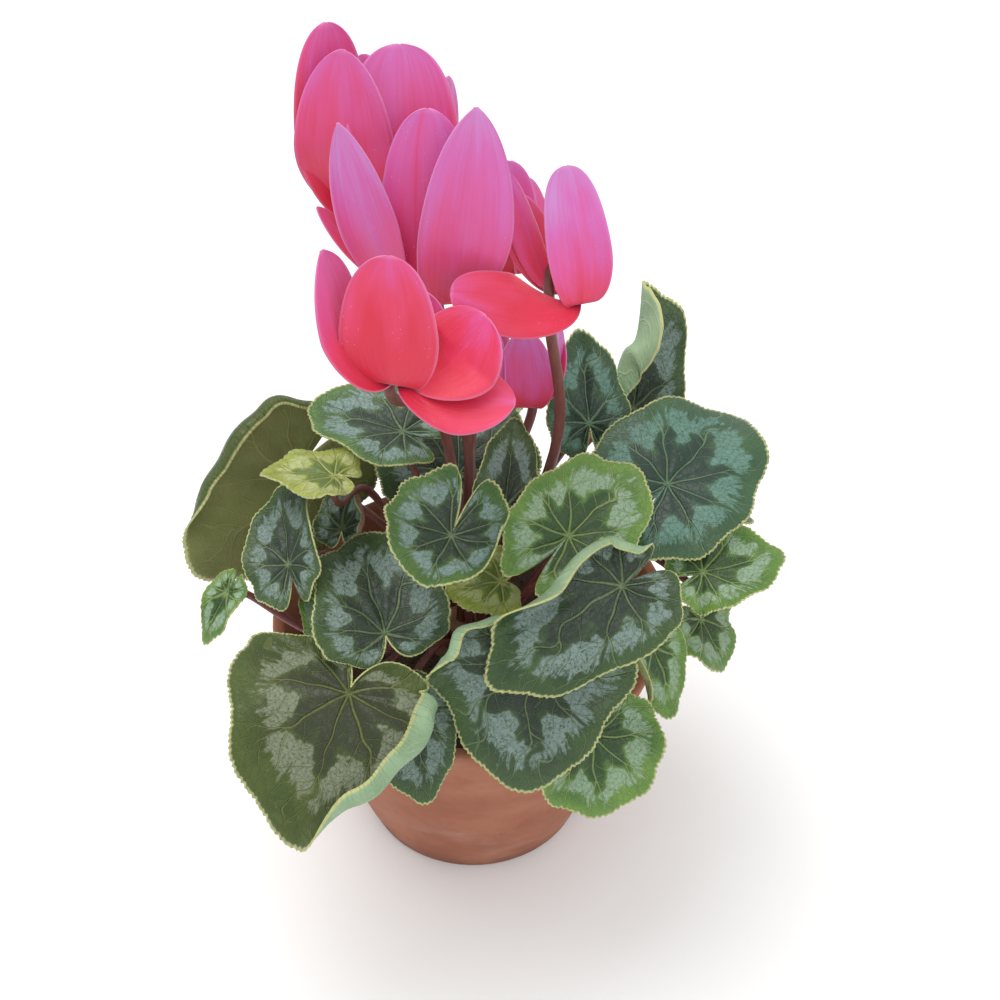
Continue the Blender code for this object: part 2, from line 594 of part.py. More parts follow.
def petal_spine(start, tip, out, crown, along):
    """The petal's middle line: out from the mouth, then back in a bow to its tip, and its direction."""
    reach = np.linalg.norm(tip - start)
    first = start + out * 0.20 * reach - crown * 0.06 * reach
    second = start + (tip - start) * 0.55 + out * 0.08 * reach
    t = along[:, None]
    spine = (1 - t) ** 3 * start + 3 * t * (1 - t) ** 2 * first + 3 * t * t * (1 - t) * second + t ** 3 * tip
    ahead = (1 - t) ** 2 * (first - start) + 2 * t * (1 - t) * (second - first) + t * t * (tip - second)
    return spine, ahead / np.linalg.norm(ahead, axis=1)[:, None]


def petal_points(flower, petal, along, across):
    """Places points of a petal, along it from 0 at the mouth to 1 at its tip, and across from -1 to 1."""
    crown = flower_frame(flower)[0]
    side = math.radians(petal.side)
    out = np.array([math.cos(side), math.sin(side), 0.0])
    out = out - crown * (out @ crown)
    out = out / np.linalg.norm(out)
    start = np.array(flower.mouth, float) + out * MOUTH_RADIUS
    spine, ahead = petal_spine(start, np.array(petal.tip, float), out, crown, along)
    flank = np.cross(crown, out) - ahead * (ahead @ np.cross(crown, out))[:, None]
    flank = flank / np.linalg.norm(flank, axis=1)[:, None]
    face = np.cross(ahead, flank)
    half = petal.width / 2
    curl = math.radians(1) * np.where(across < 0, petal.cup_left, petal.cup_right)
    aside, lift = curled(np.abs(across) * half * petal_width(along, petal.point), half, 0.0, curl[:, None])
    aside = np.sign(across) * aside
    swing = math.radians(petal.turn) * np.clip(along / PETAL_TURN_LENGTH, 0, 1)
    sideways = aside * np.cos(swing) - lift * np.sin(swing)
    upwards = aside * np.sin(swing) + lift * np.cos(swing)
    return (spine + sideways[:, None] * flank - upwards[:, None] * face) * MM


def build_petal(name, flower, petal):
    """A petal's sheet, split the same way all over, then an even thickness."""
    along, across = np.meshgrid(PETAL_ROWS, PETAL_COLUMNS, indexing="ij")
    points = petal_points(flower, petal, along.ravel(), across.ravel())
    faces = []
    for row in range(len(PETAL_ROWS) - 1):
        for column in range(len(PETAL_COLUMNS) - 1):
            near = row * len(PETAL_COLUMNS) + column
            far = near + len(PETAL_COLUMNS)
            faces.append((near, near + 1, far + 1))
            faces.append((near, far + 1, far))
    sheet = sheet_mesh(name, points, faces)
    thicken(sheet, PETAL_THICKNESS)
    return sheet


def build_flower(name, flower, material):
    """The short tube, open at its mouth, with the petals that rise from the mouth's rim."""
    pieces = [skinned(f"{name}_tube", flower_rings(flower, TUBE_INSIDE + TUBE_OUTSIDE, TUBE_SIDES))]
    for number, petal in enumerate(flower.petals):
        pieces.append(build_petal(f"{name}_petal_{number}", flower, petal))
    return fuse(name, pieces, material)


def main():
    """Builds the plant from the pot up."""
    for leftover in list(bpy.data.objects):
        bpy.data.objects.remove(leftover)
    clay = make_material("terracotta", (0.32, 0.13, 0.08), 0.75)
    mix = make_material("potting_mix", (0.03, 0.02, 0.015), 0.95)
    stalk = make_material("stalk", (0.22, 0.05, 0.05), 0.45)
    green = make_material("leaf_green", (0.06, 0.11, 0.04), 0.4)
    pink = make_material("petal_pink", (0.80, 0.10, 0.20), 0.5)
    build_pot(clay)
    build_soil(mix)
    build_crown(stalk)
    for name, leaf in LEAVES.items():
        build_blade(name, leaf, green)
    for name, flower in FLOWERS.items():
        build_flower(name, flower, pink)


main()
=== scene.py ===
"""The looks of a potted cyclamen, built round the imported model. Metres, +Z up, front towards -Y."""

import random
from collections import namedtuple
from math import atan2, cos, pi, radians, sin, sqrt, tan, tau

import bpy
import numpy as np
from mathutils import Matrix, Vector, noise


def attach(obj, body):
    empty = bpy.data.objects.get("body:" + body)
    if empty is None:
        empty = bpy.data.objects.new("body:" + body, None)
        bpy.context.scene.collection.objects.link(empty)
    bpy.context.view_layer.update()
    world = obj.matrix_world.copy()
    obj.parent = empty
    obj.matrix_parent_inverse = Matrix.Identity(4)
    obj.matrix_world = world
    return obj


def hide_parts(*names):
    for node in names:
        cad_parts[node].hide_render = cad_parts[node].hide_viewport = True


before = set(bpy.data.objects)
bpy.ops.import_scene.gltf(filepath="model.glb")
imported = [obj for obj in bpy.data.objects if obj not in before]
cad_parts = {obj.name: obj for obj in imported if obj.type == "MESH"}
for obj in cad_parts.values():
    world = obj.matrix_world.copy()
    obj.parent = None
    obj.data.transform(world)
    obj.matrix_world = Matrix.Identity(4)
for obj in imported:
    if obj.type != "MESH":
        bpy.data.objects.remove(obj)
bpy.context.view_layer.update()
bpy.ops.object.select_all(action="DESELECT")

MM = 0.001
MERGE = 0.02 * MM  # points closer than this become one

# Pot, as the solid has it
POT_BASE_RADIUS = 0.050
POT_HEIGHT = 0.117
POT_FLARE = 0.30  # gain in radius for each unit of height
POT_WALL = 0.0055
POT_FLOOR = 0.008
POT_SIDES = 96
POT_FOOT = ((-0.0022, 0), (-0.0008, 0.0004), (0, 0.0015))  # its rounding: (outwards, up)
POT_UNEVEN = 0.25 * MM
LIP_ROUND = 0.0025
LIP_STEPS = 6
DRAIN_HOLES = 3
DRAIN_RADIUS = 0.004
DRAIN_CIRCLE = 0.025

# Potting mix and tuber
SOIL_EDGE = 0.101
MIX_GAP = 0.0004  # air between the mix and the pot's wall
MIX_SHEET = 0.002
MIX_SIDES = 64
MIX_GRID = (96, 30)  # points round the mix's top, and outwards
CRUMBS = 520
CRUMB_SIZES = (0.5, 1.7)
CRUMB_SEED = 11
TUBER_RADIUS = 0.021
TUBER_TOP = 0.108
TUBER_PROFILE = (  # (radius, height above the pot's foot), in millimetres
    (12, 86), (18, 88), (21, 92), (21.2, 99), (20, 104), (16, 107), (9, 108.2), (4, 107.6))
TUBER_SIDES = 40
ROOT_DEPTH = 8 * MM  # how deep each stalk is sunk in the tuber

# Stalks: radii at the tuber and at the far end, and the circle that they rise from
LEAF_STALK_RADII = (1.7 * MM, 1.3 * MM)
LEAF_ROOT_CIRCLE = 11 * MM
FLOWER_STALK_RADII = (2.2 * MM, 1.7 * MM)
FLOWER_ROOT_CIRCLE = 5 * MM
FLOWER_ROOT_STEP = 2.4  # radians from one flower's root to the next
PATH_STEPS = 9
STALK_TO_BLADE = 1.9 * MM

# Leaf blades
BLADE_THICKNESS = 0.6 * MM
BLADE_FLANK = 0.82  # the margin's distance beside the stalk, as a share of that ahead of it
NOTCH = 0.14  # half width of the notch between the lobes, in radians round the stalk
NOTCH_DEPTH = 0.86
HINGE = 0.7  # share of the way out at which most margins start to fold up
FLAP_EASE = 0.5  # radians round the stalk over which a fold sets in
CURL_STEPS = 24
BLADE_VEINS = 9
BLADE_RINGS = 13
BULGE = 0.55  # millimetres that the blade rises between two veins
MARGIN_CORNERS = 0.03  # share by which the margin stands out at each vein
TOOTH_SPACING = 2.1  # millimetres along the margin
TOOTH_DEPTH = 1.0
MARGIN_INSET = 0.03  # share by which the fine margin stays inside the coarse one
PLAN = 100.0  # millimetres across one blade's UV map

# Flowers, in millimetres; profiles are (radius, height above the mouth)
PETAL_THICKNESS = 0.5 * MM
PETAL_GRID = (20, 40)  # points across, and along
PETAL_END = 0.05  # share of its width that a petal keeps at the very tip
PETAL_TURN_LENGTH = 0.625  # share of the petal over which its blade turns
PETAL_RIPPLE = 0.5
PETAL_GROOVE = 0.35
MOUTH_RADIUS = 4.6
TUBE_PROFILE = (
    (0.9, 5.8), (2.6, 5.0), (3.3, 3.6), (3.5, 1.6), (3.4, 0.4), (3.8, -0.4), (4.6, -0.8),
    (5.3, -0.5), (5.5, 0.3), (5.2, 1.4), (4.5, 2.8), (4.0, 4.6), (3.6, 6.4), (2.8, 7.2))
STYLE_PROFILE = (
    (1.5, 5.6), (1.8, 4.0), (1.5, 1.6), (0.6, 0.2), (0.35, -0.8), (0.5, -1.2), (0.3, -1.4))
CUP_PROFILE = ((3.0, 6.9), (3.7, 7.2), (3.6, 8.6), (2.9, 10.0), (2.2, 11.4), (1.8, 12.6))
TUBE_SIDES = 32
STYLE_SIDES = 16
CUP_SIDES = 20
SEPALS = 5
SEPAL_ROOT = 8.2
SEPAL_LENGTH = 5.0
SEPAL_THICKNESS = 0.3
SEPAL_GRID = (4, 6)
# The stalk's hook over a flower: (height above the mouth, distance to the stalk's side)
HOOK = ((-12, 8.2), (-2, 8.6), (8, 8.6), (14.5, 4.3), (9.3, 0))

# Camera and lamps
LENS = 54
SENSOR = 36
CAMERA_PLACE = (0.0128, -0.4663, 0.5635)
CAMERA_TILT = 50.2  # degrees up from straight down
CAMERA_ROLL = -0.3
LAMP_AIM = (0, 0, 0.18)
SKY_STRENGTH = 0.86

# A margin folded up over the blade: the direction of its middle (from the tip, to the right side),
# half its span round the stalk, how far it turns, and the share of the way out at which it starts.
# A fold under the blade turns the other way.
Flap = namedtuple("Flap", "middle span turn hinge", defaults=(HINGE,))

# A leaf blade: where its stalk meets it, the way its midrib runs (heading from +X, rise, roll), its
# size, how far each half is folded up along the midrib (keel), how far its left and right margins
# curl up, how far its tip and its lobes droop, its edge wave, how far back its lobes reach, how
# much narrower its shoulders are (taper), and its folded margin.
Leaf = namedtuple(
    "Leaf",
    "base heading rise roll length width keel "
    "curl_left curl_right droop lobes wave back taper flap",
    defaults=(0.05, Flap(0, 0, 0)))

LEAVES = {
    "leaf_front_left_large": Leaf(
        (-42.5, -91, 159.5), -116, -32, 10, 60, 98, 4, 38, -30, 20, 10, 2.0, 0.35, 0.08,
        Flap(-75, 75, 190)),
    "leaf_front_left_inner": Leaf(
        (-30, -71, 170), 106, 26, 5, 50, 54, 8, 10, 20, 30, 10, 1.5, 0.3, 0.0),
    "leaf_front_left_strip": Leaf((-47, -64, 160), 118, 21, 18, 34, 28, 5, 0, 0, 20, 10, 1.0, 0.4),
    "leaf_front_centre_large": Leaf(
        (23.5, -88, 174), -95, -52, 0, 53, 80, 4, -20, -10, 20, -10, 2.0, 0.5, 0.14,
        Flap(140, 70, 195)),
    "leaf_front_centre_oval": Leaf(
        (56, -77, 199), -149, -18, 30, 60, 52, 8, -15, -10, 25, 10, 1.5, 0.4, 0.0,
        Flap(100, 75, 190, 0.58)),
    "leaf_front_right_low": Leaf(
        (47, -93, 138), -80, -52, 0, 33, 54, 6, 15, 15, 20, 10, 1.5, 0.7, -0.03),
    "leaf_centre_left_cup": Leaf(
        (-5, -54, 203), -110, -15, 10, 27, 56, 12, 95, 30, -25, -30, 1.5, 1.3, 0.0),
    "leaf_centre_right_bright": Leaf(
        (38, -50, 199), 50, 12, -25, 44, 50, 8, 15, 20, 10, -10, 1.5, 0.9, 0.0),
    "leaf_right_large": Leaf(
        (78, -14, 194), 50, 14, -14, 54, 68, 8, -15, -20, 25, 10, 2.0, 0.8, 0.0),
    "leaf_upper_left": Leaf((-25, 1, 209), 157, 8, 12, 43, 44, 8, 15, 20, 20, 10, 1.5, 0.5, 0.0),
    "leaf_left_yellow": Leaf((-50, -23, 206), 168, 4, -6, 30, 36, 5, 10, 10, 15, 10, 1.5, 0.4),
    "leaf_left_back_olive": Leaf(
        (-72, 22, 172), -139, -29, -98, 60, 98, 4, 10, 10, -10, 0, 2.0, 0.8, 0.0,
        Flap(-95, 80, -150)),
    "leaf_left_dark": Leaf((-67, -46, 182), 102, 20, 30, 38, 36, 10, 20, 40, 15, 10, 1.5, 0.6, 0.0),
    "leaf_left_small_low": Leaf((-92, -46, 168), -130, -40, 0, 23, 18, 6, 0, 0, 20, 10, 1.0, 0.5),
    "leaf_right_outer": Leaf(
        (90, -45, 176), 13, 11, -20, 34, 40, 8, 0, 10, 20, 10, 1.5, 0.5, 0.05, Flap(-100, 60, 180)),
    "leaf_right_lower": Leaf((90, -50, 156), -40, -45, 0, 24, 34, 6, -10, 0, 20, 10, 1.5, 0.5),
    "leaf_right_hanging": Leaf(
        (70, -68, 160), -55, -62, 0, 32, 28, 6, 10, 0, 10, 10, 1.0, 0.5, 0.05, Flap(90, 60, 180)),
    "leaf_back_dark": Leaf((49, 22, 197), 100, 60, 0, 39, 36, 6, 0, 0, 10, 10, 1.5, 0.5),
    "leaf_back_right_rolled": Leaf(
        (69, 44, 188), 74, 67, -32, 54, 44, 6, 10, 20, 10, 10, 1.5, 0.42, -0.12,
        Flap(-85, 85, 200, 0.45)),
    "leaf_centre_back": Leaf((15, -22, 190), 82, 42, -5, 38, 28, 8, 0, 0, 20, 10, 1.0, 0.4),
    "leaf_back_left_olive": Leaf((-29, 34, 188), 97, 30, 0, 24, 24, 8, 0, 0, 20, 10, 1.0, 0.5),
    "leaf_front_left_low": Leaf((-22, -88, 146), -68, -55, 0, 38, 38, 6, 0, 0, 15, 10, 1.5, 0.5),
    "leaf_centre_low": Leaf((13, -54, 180), -164, 6, 20, 22, 32, 6, 0, 0, 15, 10, 1.0, 0.4),
    "leaf_left_inner_brown": Leaf(
        (-49.5, -17, 174), 87, 24, 12, 23, 25, 8, 10, 20, 15, 10, 1.0, 0.4, 0.0, Flap(75, 90, 170)),
    "leaf_back_left_low": Leaf((-62, 66, 150), 140, -34, 0, 43, 60, 8, -10, -10, 25, 10, 2.0, 0.5),
    "leaf_back_left_upper": Leaf((-36, 64, 164), 114, 0, 0, 38, 50, 8, -8, -8, 25, 10, 2.0, 0.5),
    "leaf_back_middle_low": Leaf((-6, 88, 150), 95, -42, 0, 43, 62, 8, -10, -10, 20, 10, 2.0, 0.6),
    "leaf_back_middle_upper": Leaf((-5, 38, 158), 92, 38, 0, 48, 74, 8, -8, -8, 20, 10, 2.0, 0.5),
    "leaf_back_right_low": Leaf((56, 76, 158), 52, -34, 0, 43, 58, 8, -10, -10, 25, 10, 2.0, 0.6),
    "leaf_back_right_side": Leaf((94, 32, 157), 18, -30, 0, 40, 54, 8, -10, -10, 25, 10, 2.0, 0.6),
}

# Stalks of some leaves bend round the blades beneath them: one point that the stalk passes.
STALK_BENDS = {
    "leaf_centre_right_bright": (32, -30, 168),
    "leaf_left_dark": (-56, -12, 156),
    "leaf_left_small_low": (-54, -42, 138),
    "leaf_left_yellow": (-38, 6, 172),
    "leaf_front_centre_large": (8, -46, 140),
    "leaf_centre_left_cup": (0, -34, 160),
    "leaf_right_outer": (56, -18, 166),
}

# The finish of each blade's upper side and underside; a blade that isn't listed is dark over mint.
BLADE_FINISH = {
    "leaf_front_left_large": ("olive", "mint"),
    "leaf_front_left_strip": ("bright", "mint"),
    "leaf_front_right_low": ("bright", "mint"),
    "leaf_centre_right_bright": ("bright", "mint"),
    "leaf_centre_left_cup": ("silver", "mint"),
    "leaf_upper_left": ("silver", "mint"),
    "leaf_right_large": ("blue", "mint"),
    "leaf_left_yellow": ("yellow", "olive"),
    "leaf_left_back_olive": ("olive", "olive"),
    "leaf_left_small_low": ("bright", "mint"),
    "leaf_right_outer": ("bright", "brown"),
    "leaf_right_lower": ("bright", "mint"),
    "leaf_right_hanging": ("bright", "olive"),
    "leaf_back_dark": ("blue", "mint"),
    "leaf_back_left_olive": ("yellow", "olive"),
    "leaf_centre_low": ("yellow", "olive"),
    "leaf_left_inner_brown": ("dark", "brown"),
    "leaf_back_left_low": ("olive", "mint"),
    "leaf_back_right_low": ("bright", "mint"),
}

# Colours, in display values. Upper sides: heart, flesh, lit flesh, silver band and veins.
UPPER_TONES = {
    "dark": ((36, 50, 38), (42, 64, 36), (60, 86, 44), (118, 138, 132), (104, 124, 84)),
    "olive": ((48, 56, 34), (54, 70, 26), (74, 90, 36), (122, 130, 108), (110, 116, 62)),
    "blue": ((34, 56, 46), (46, 76, 52), (60, 92, 58), (96, 134, 122), (106, 136, 102)),
    "bright": ((46, 74, 38), (72, 110, 42), (104, 140, 62), (140, 164, 140), (138, 160, 98)),
    "silver": ((40, 58, 44), (62, 94, 46), (84, 120, 58), (128, 152, 150), (118, 140, 102)),
    "yellow": ((90, 112, 44), (128, 142, 52), (160, 170, 76), (168, 178, 122), (178, 184, 112)),
}
# Undersides: flesh, deeper flesh and veins
UNDER_TONES = {
    "mint": ((140, 168, 132), (118, 146, 108), (164, 184, 146)),
    "olive": ((122, 128, 72), (104, 112, 58), (146, 142, 92)),
    "brown": ((146, 112, 98), (118, 92, 74), (166, 132, 112)),
}
CREAM_MARGIN = (182, 186, 126)

# Where the silver band starts and ends, as shares of the way out
SILVER_BAND = (0.63, 0.77)
OLIVE_BAND = (0.58, 0.68)
UNDER_BAND = (0.60, 0.74)

# A flower: the middle of its mouth, the lean of its crown (to +X, to +Y), the side on which its
# stalk comes up (heading), a point that the stalk passes, and its petals (the heading of the root
# on the mouth, the place of the tip, the width, the turn of the blade towards its tip, how far each
# side curls, how pointed the tip is, and how far a painted sky sheen turns it from red to purple).
Petal = namedtuple(
    "Petal", "side tip width turn cup_left cup_right point lilac", defaults=(0, 20, 20, 0.6, 0.5))
Flower = namedtuple("Flower", "mouth lean_x lean_y stalk_side bend petals")

FLOWERS = {
    "flower_top_left": Flower((-27, 7, 302), -6, 12, 65, (-2, 6, 222), (
        Petal(172, (-44, 20, 366), 30, 60, 60, 30, 0.5, 0.3),
        Petal(208, (-38, 5, 363), 37, -50, 25, 10, 0.65, 0.45),
        Petal(300, (-20, 16, 360), 40, 20, 20, 25, 0.42, 0.6),
        Petal(350, (-4, 22, 346), 24, 20, 20, 20, 0.5, 0.7),
        Petal(125, (-34, 36, 348), 26, 0, 20, 20, 0.5, 0.5))),
    "flower_centre": Flower((-8, -19, 284), 0, 10, 90, (1, -8, 222), (
        Petal(205, (-38, -24, 351), 22, -50, 60, 10, 0.8, 0.9),
        Petal(260, (-10, -16, 352), 34, -5, -20, -20, 0.5, 0.5),
        Petal(292, (6, -28, 358), 34, 5, 25, 5, 0.75, 0.85),
        Petal(30, (9, -3, 333), 22, lilac=0.9),
        Petal(165, (-49, -11, 314), 16, lilac=0.1))),
    "flower_lower_left": Flower((-18, -62, 280), 0, 8, 125, (-8, -15, 222), (
        Petal(190, (-42, -60, 326), 32, 30, 15, 25, 0.8, 0.35),
        Petal(250, (-21, -67, 328), 33, -10, 25, 15, 0.5, 0.0),
        Petal(335, (9, -58, 300), 34, -70, 15, 15, 0.5, 0.05),
        Petal(290, (18, -73, 277), 28, -20, 10, 15, 0.65, 0.05),
        Petal(70, (-11, -46, 302), 20, 0, 15, 15, 0.6, 0.3))),
    "flower_right": Flower((39, -18.5, 283), 0, 8, 175, (34, -8, 206), (
        Petal(290, (35, -15, 331), 23, 20, 50, 20, 0.42, 0.9),
        Petal(256, (-3, -48, 303), 23, 82, 20, 20, 0.45, 0.05),
        Petal(118, (16, 0, 312), 20, 0, 20, 30, 0.4, 0.2),
        Petal(140, (15, -1, 322), 12, 30, 60, 10, 0.6, 0.5),
        Petal(20, (47, 3, 301), 16, 0, 15, 15, 0.5, 0.7))),
    "flower_middle_back": Flower((16, 26, 268), 0, 10, 157, (4, 26, 228), (
        Petal(265, (17, 28, 311), 24, 0, 25, 25, 0.5, 0.6),
        Petal(320, (24, 30, 303), 22),
        Petal(215, (5, 30, 301), 22),
        Petal(95, (12, 50, 297), 22),
        Petal(40, (28, 46, 287), 20))),
    "flower_low_back": Flower((24, 14, 215), 0, 8, 80, (14, 14, 165), (
        Petal(200, (12, 10, 250), 20, 0, 20, 20, 0.5, 0.6),
        Petal(270, (22, 4, 253), 22, 0, 20, 20, 0.5, 0.7),
        Petal(340, (35, 12, 250), 16, 0, 20, 20, 0.5, 0.8),
        Petal(25, (36, 22, 244), 16),
        Petal(140, (11, 28, 244), 16))),
}


# Nodes

def colour(red, green, blue):
    """A colour given by its display values from 0 to 255, in the shader's linear values."""
    def linear(level):
        share = level / 255
        return share / 12.92 if share <= 0.04045 else ((share + 0.055) / 1.055) ** 2.4
    return (linear(red), linear(green), linear(blue), 1.0)


def feed(socket, value):
    """Links an output to the socket, or sets the socket's own value."""
    if isinstance(value, bpy.types.NodeSocket):
        socket.id_data.links.new(value, socket)
    else:
        socket.default_value = value


def add_node(near, kind, inputs=(), **settings):
    """Adds a node to the tree that a socket is in, and feeds its inputs by name or number."""
    made = near.id_data.nodes.new(kind)
    for name, value in settings.items():
        setattr(made, name, value)
    for key, value in dict(inputs).items():
        feed(made.inputs[key], value)
    return made


def calc(operation, *values):
    """One step of arithmetic."""
    return add_node(values[0], "ShaderNodeMath", enumerate(values), operation=operation).outputs[0]


def times(first, second):
    """A product."""
    return calc("MULTIPLY", first, second)


def line(value, slope, start):
    """A value times a slope, plus a start."""
    return calc("MULTIPLY_ADD", value, slope, start)


def centred(value):
    """A value from 0 to 1, brought to lie about 0."""
    return calc("SUBTRACT", value, 0.5)


def step(value, low, high):
    """Rises smoothly from 0 at low to 1 at high, or falls where low is above high."""
    inputs = {"Value": value, "From Min": low, "From Max": high}
    made = add_node(value, "ShaderNodeMapRange", inputs, interpolation_type="SMOOTHSTEP")
    return made.outputs["Result"]


def blend(share, first, second):
    """Mixes two colours, each an output or display values."""
    made = add_node(share, "ShaderNodeMix", data_type="RGBA")
    sockets = {socket.identifier: socket for socket in made.inputs}
    feed(sockets["Factor_Float"], share)
    for key, tone in (("A_Color", first), ("B_Color", second)):
        feed(sockets[key], colour(*tone) if isinstance(tone, tuple) else tone)
    return next(socket for socket in made.outputs if socket.identifier == "Result_Color")


def tint(tone, mask, strength, second):
    """Tints a tone with a second one where the mask is high."""
    return blend(times(mask, strength), tone, second)


def cloud(place, scale, detail=3.0, roughness=0.55):
    """Soft random values about 0.5."""
    inputs = {"Vector": place, "Scale": scale, "Detail": detail, "Roughness": roughness}
    return add_node(place, "ShaderNodeTexNoise", inputs).outputs["Fac"]


def cells(place, scale, feature="F1"):
    """Distance from the middle, or the edge, of scattered cells."""
    inputs = {"Vector": place, "Scale": scale}
    return add_node(place, "ShaderNodeTexVoronoi", inputs, feature=feature).outputs["Distance"]


def stretch(place, size, shift=(0.0, 0.0, 0.0)):
    """Scales and shifts a place."""
    inputs = {0: place, 1: size, 2: shift}
    return add_node(place, "ShaderNodeVectorMath", inputs, operation="MULTIPLY_ADD").outputs[0]


def split(place):
    """The three parts of a place."""
    return add_node(place, "ShaderNodeSeparateXYZ", {0: place}).outputs


def place_at(*parts):
    """A place put together from its three parts."""
    return add_node(parts[0], "ShaderNodeCombineXYZ", enumerate(parts)).outputs[0]


def own_place(tree):
    """The piece's own coordinates, in metres."""
    return add_node(tree, "ShaderNodeTexCoord").outputs["Object"]


def own_plan(tree):
    """The piece's own UV map."""
    return add_node(tree, "ShaderNodeUVMap", uv_map="plan").outputs["UV"]


def attribute(tree, name):
    """A value kept on the piece's points."""
    return add_node(tree, "ShaderNodeAttribute", attribute_name=name).outputs["Fac"]


def new_group(name, inputs, outputs):
    """An empty node group with its sockets, and its inner outputs and inputs."""
    tree = bpy.data.node_groups.new(name, "ShaderNodeTree")
    for label, kind in inputs.items():
        tree.interface.new_socket(name=label, in_out="INPUT", socket_type=kind)
    for label, kind in outputs.items():
        tree.interface.new_socket(name=label, in_out="OUTPUT", socket_type=kind)
    given = tree.nodes.new("NodeGroupInput").outputs
    return tree, given, tree.nodes.new("NodeGroupOutput").inputs


def new_material(name):
    """A Principled material and its tree."""
    material = bpy.data.materials.new(name)
    material.use_nodes = True
    return material, material.node_tree


def complete(material, tone, roughness, height, strength, distance, others=()):
    """Feeds the material's shader, and raises its surface by a height map."""
    shader = material.node_tree.nodes["Principled BSDF"]
    relief = {"Height": height, "Strength": strength, "Distance": distance}
    normal = add_node(height, "ShaderNodeBump", relief).outputs["Normal"]
    inputs = {"Base Color": tone, "Roughness": roughness, "Normal": normal, **dict(others)}
    for key, value in inputs.items():
        feed(shader.inputs[key], value)
    return material


# Finishes

def blade_pattern():
    """Where a blade's veins, net, silver band, dark heart and pale margin lie."""
    scalar = "NodeSocketFloat"
    tree, given, out = new_group(
        "blade_pattern",
        {"Plan": "NodeSocketVector", "Share": scalar, "Seed": scalar,
         "Band Start": scalar, "Band End": scalar},
        {"Vein": scalar, "Net": scalar, "Silver": scalar,
         "Heart": scalar, "Margin": scalar, "Relief": scalar})
    plan, share, seed = given["Plan"], given["Share"], given["Seed"]
    parts = split(plan)
    lifted = place_at(parts[0], parts[1], seed)
    reach = add_node(tree, "ShaderNodeVectorMath", {0: plan}, operation="LENGTH").outputs["Value"]
    angle = calc("ARCTAN2", parts[0], parts[1])
    # main veins: lines from the stalk, a little bent, that fork halfway out
    sway = centred(cloud(lifted, 0.05, 1.0))
    turns = line(sway, 0.9, line(angle, BLADE_VEINS / tau, 0.5))
    aside = calc("ABSOLUTE", centred(calc("FRACT", turns)))
    off_vein = times(times(aside, tau / BLADE_VEINS), reach)
    size = calc("DIVIDE", reach, calc("MAXIMUM", share, 0.02))
    fork = times(calc("MAXIMUM", calc("SUBTRACT", share, 0.52), 0.0), size)
    forked = calc("ABSOLUTE", line(fork, -0.32, off_vein))
    width = line(share, -0.42, 0.62)
    main_vein = step(forked, times(width, 1.5), times(width, 0.4))
    # side veins run off each main vein at a slant
    slant = calc("DIVIDE", line(off_vein, -1.0, reach), 7.0)
    slant = calc("ADD", slant, times(seed, 3.7))
    slant = calc("ABSOLUTE", centred(calc("FRACT", slant)))
    side_vein = times(step(slant, 0.06, 0.02), step(share, 0.25, 0.4))
    vein = calc("MAXIMUM", main_vein, times(side_vein, 0.55))
    net = step(cells(lifted, 0.42, "DISTANCE_TO_EDGE"), 0.07, 0.02)
    # silver band: its inner edge bulges in between veins, its outer edge is feathered
    soft = centred(cloud(lifted, 0.16, 2.0))
    start = line(step(aside, 0.0, 0.45), -0.17, given["Band Start"])
    inner = calc("SUBTRACT", share, line(soft, 0.36, start))
    rays = place_at(times(angle, 9.0), times(share, 2.2), seed)
    feather = centred(cloud(rays, 1.6, 4.0, 0.7))
    finish = line(soft, 0.3, line(feather, 0.55, given["Band End"]))
    outer = step(calc("SUBTRACT", share, finish), 0.05, -0.03)
    grain = step(cloud(lifted, 0.9, 4.0, 0.7), 0.30, 0.52)
    silver = times(times(step(inner, -0.015, 0.03), outer), grain)
    relief = line(net, -0.25, line(vein, -1.0, 1.0))
    feed(out["Vein"], vein)
    feed(out["Net"], net)
    feed(out["Silver"], times(silver, step(aside, 0.015, 0.07)))
    feed(out["Heart"], step(inner, 0.05, -0.12))
    feed(out["Margin"], step(share, 0.968, 0.988))
    feed(out["Relief"], line(soft, 0.6, relief))
    return tree


def blade_masks(tree, pattern, band):
    """The blade's pattern on its own plan, its share of the way out, and soft mottling."""
    plan = stretch(own_plan(tree), (PLAN, PLAN, 0.0), (-PLAN / 2, -PLAN / 2, 0.0))
    share = attribute(tree, "share")
    inputs = {"Plan": plan, "Share": share, "Seed": attribute(tree, "seed"),
              "Band Start": band[0], "Band End": band[1]}
    masks = add_node(tree, "ShaderNodeGroup", inputs, node_tree=pattern).outputs
    return masks, share, cloud(own_place(tree), 60.0)


def upper_finish(name, pattern, heart, flesh, lit, silver, vein, band):
    """A blade's glossy upper side."""
    material, tree = new_material(name)
    masks, share, mottle = blade_masks(tree, pattern, band)
    tone = blend(step(mottle, 0.35, 0.7), flesh, lit)
    tone = tint(tone, step(share, 0.80, 0.99), 0.6, lit)
    tone = blend(masks["Heart"], tone, heart)
    tone = tint(tone, masks["Silver"], 0.9, silver)
    tone = tint(tone, masks["Net"], 0.14, vein)
    tone = tint(tone, masks["Vein"], 0.62, vein)
    tone = blend(masks["Margin"], tone, CREAM_MARGIN)
    roughness = line(mottle, 0.12, line(masks["Silver"], 0.14, 0.29))
    others = {"Specular IOR Level": 0.4}
    return complete(material, tone, roughness, masks["Relief"], 0.7, 0.0014, others)


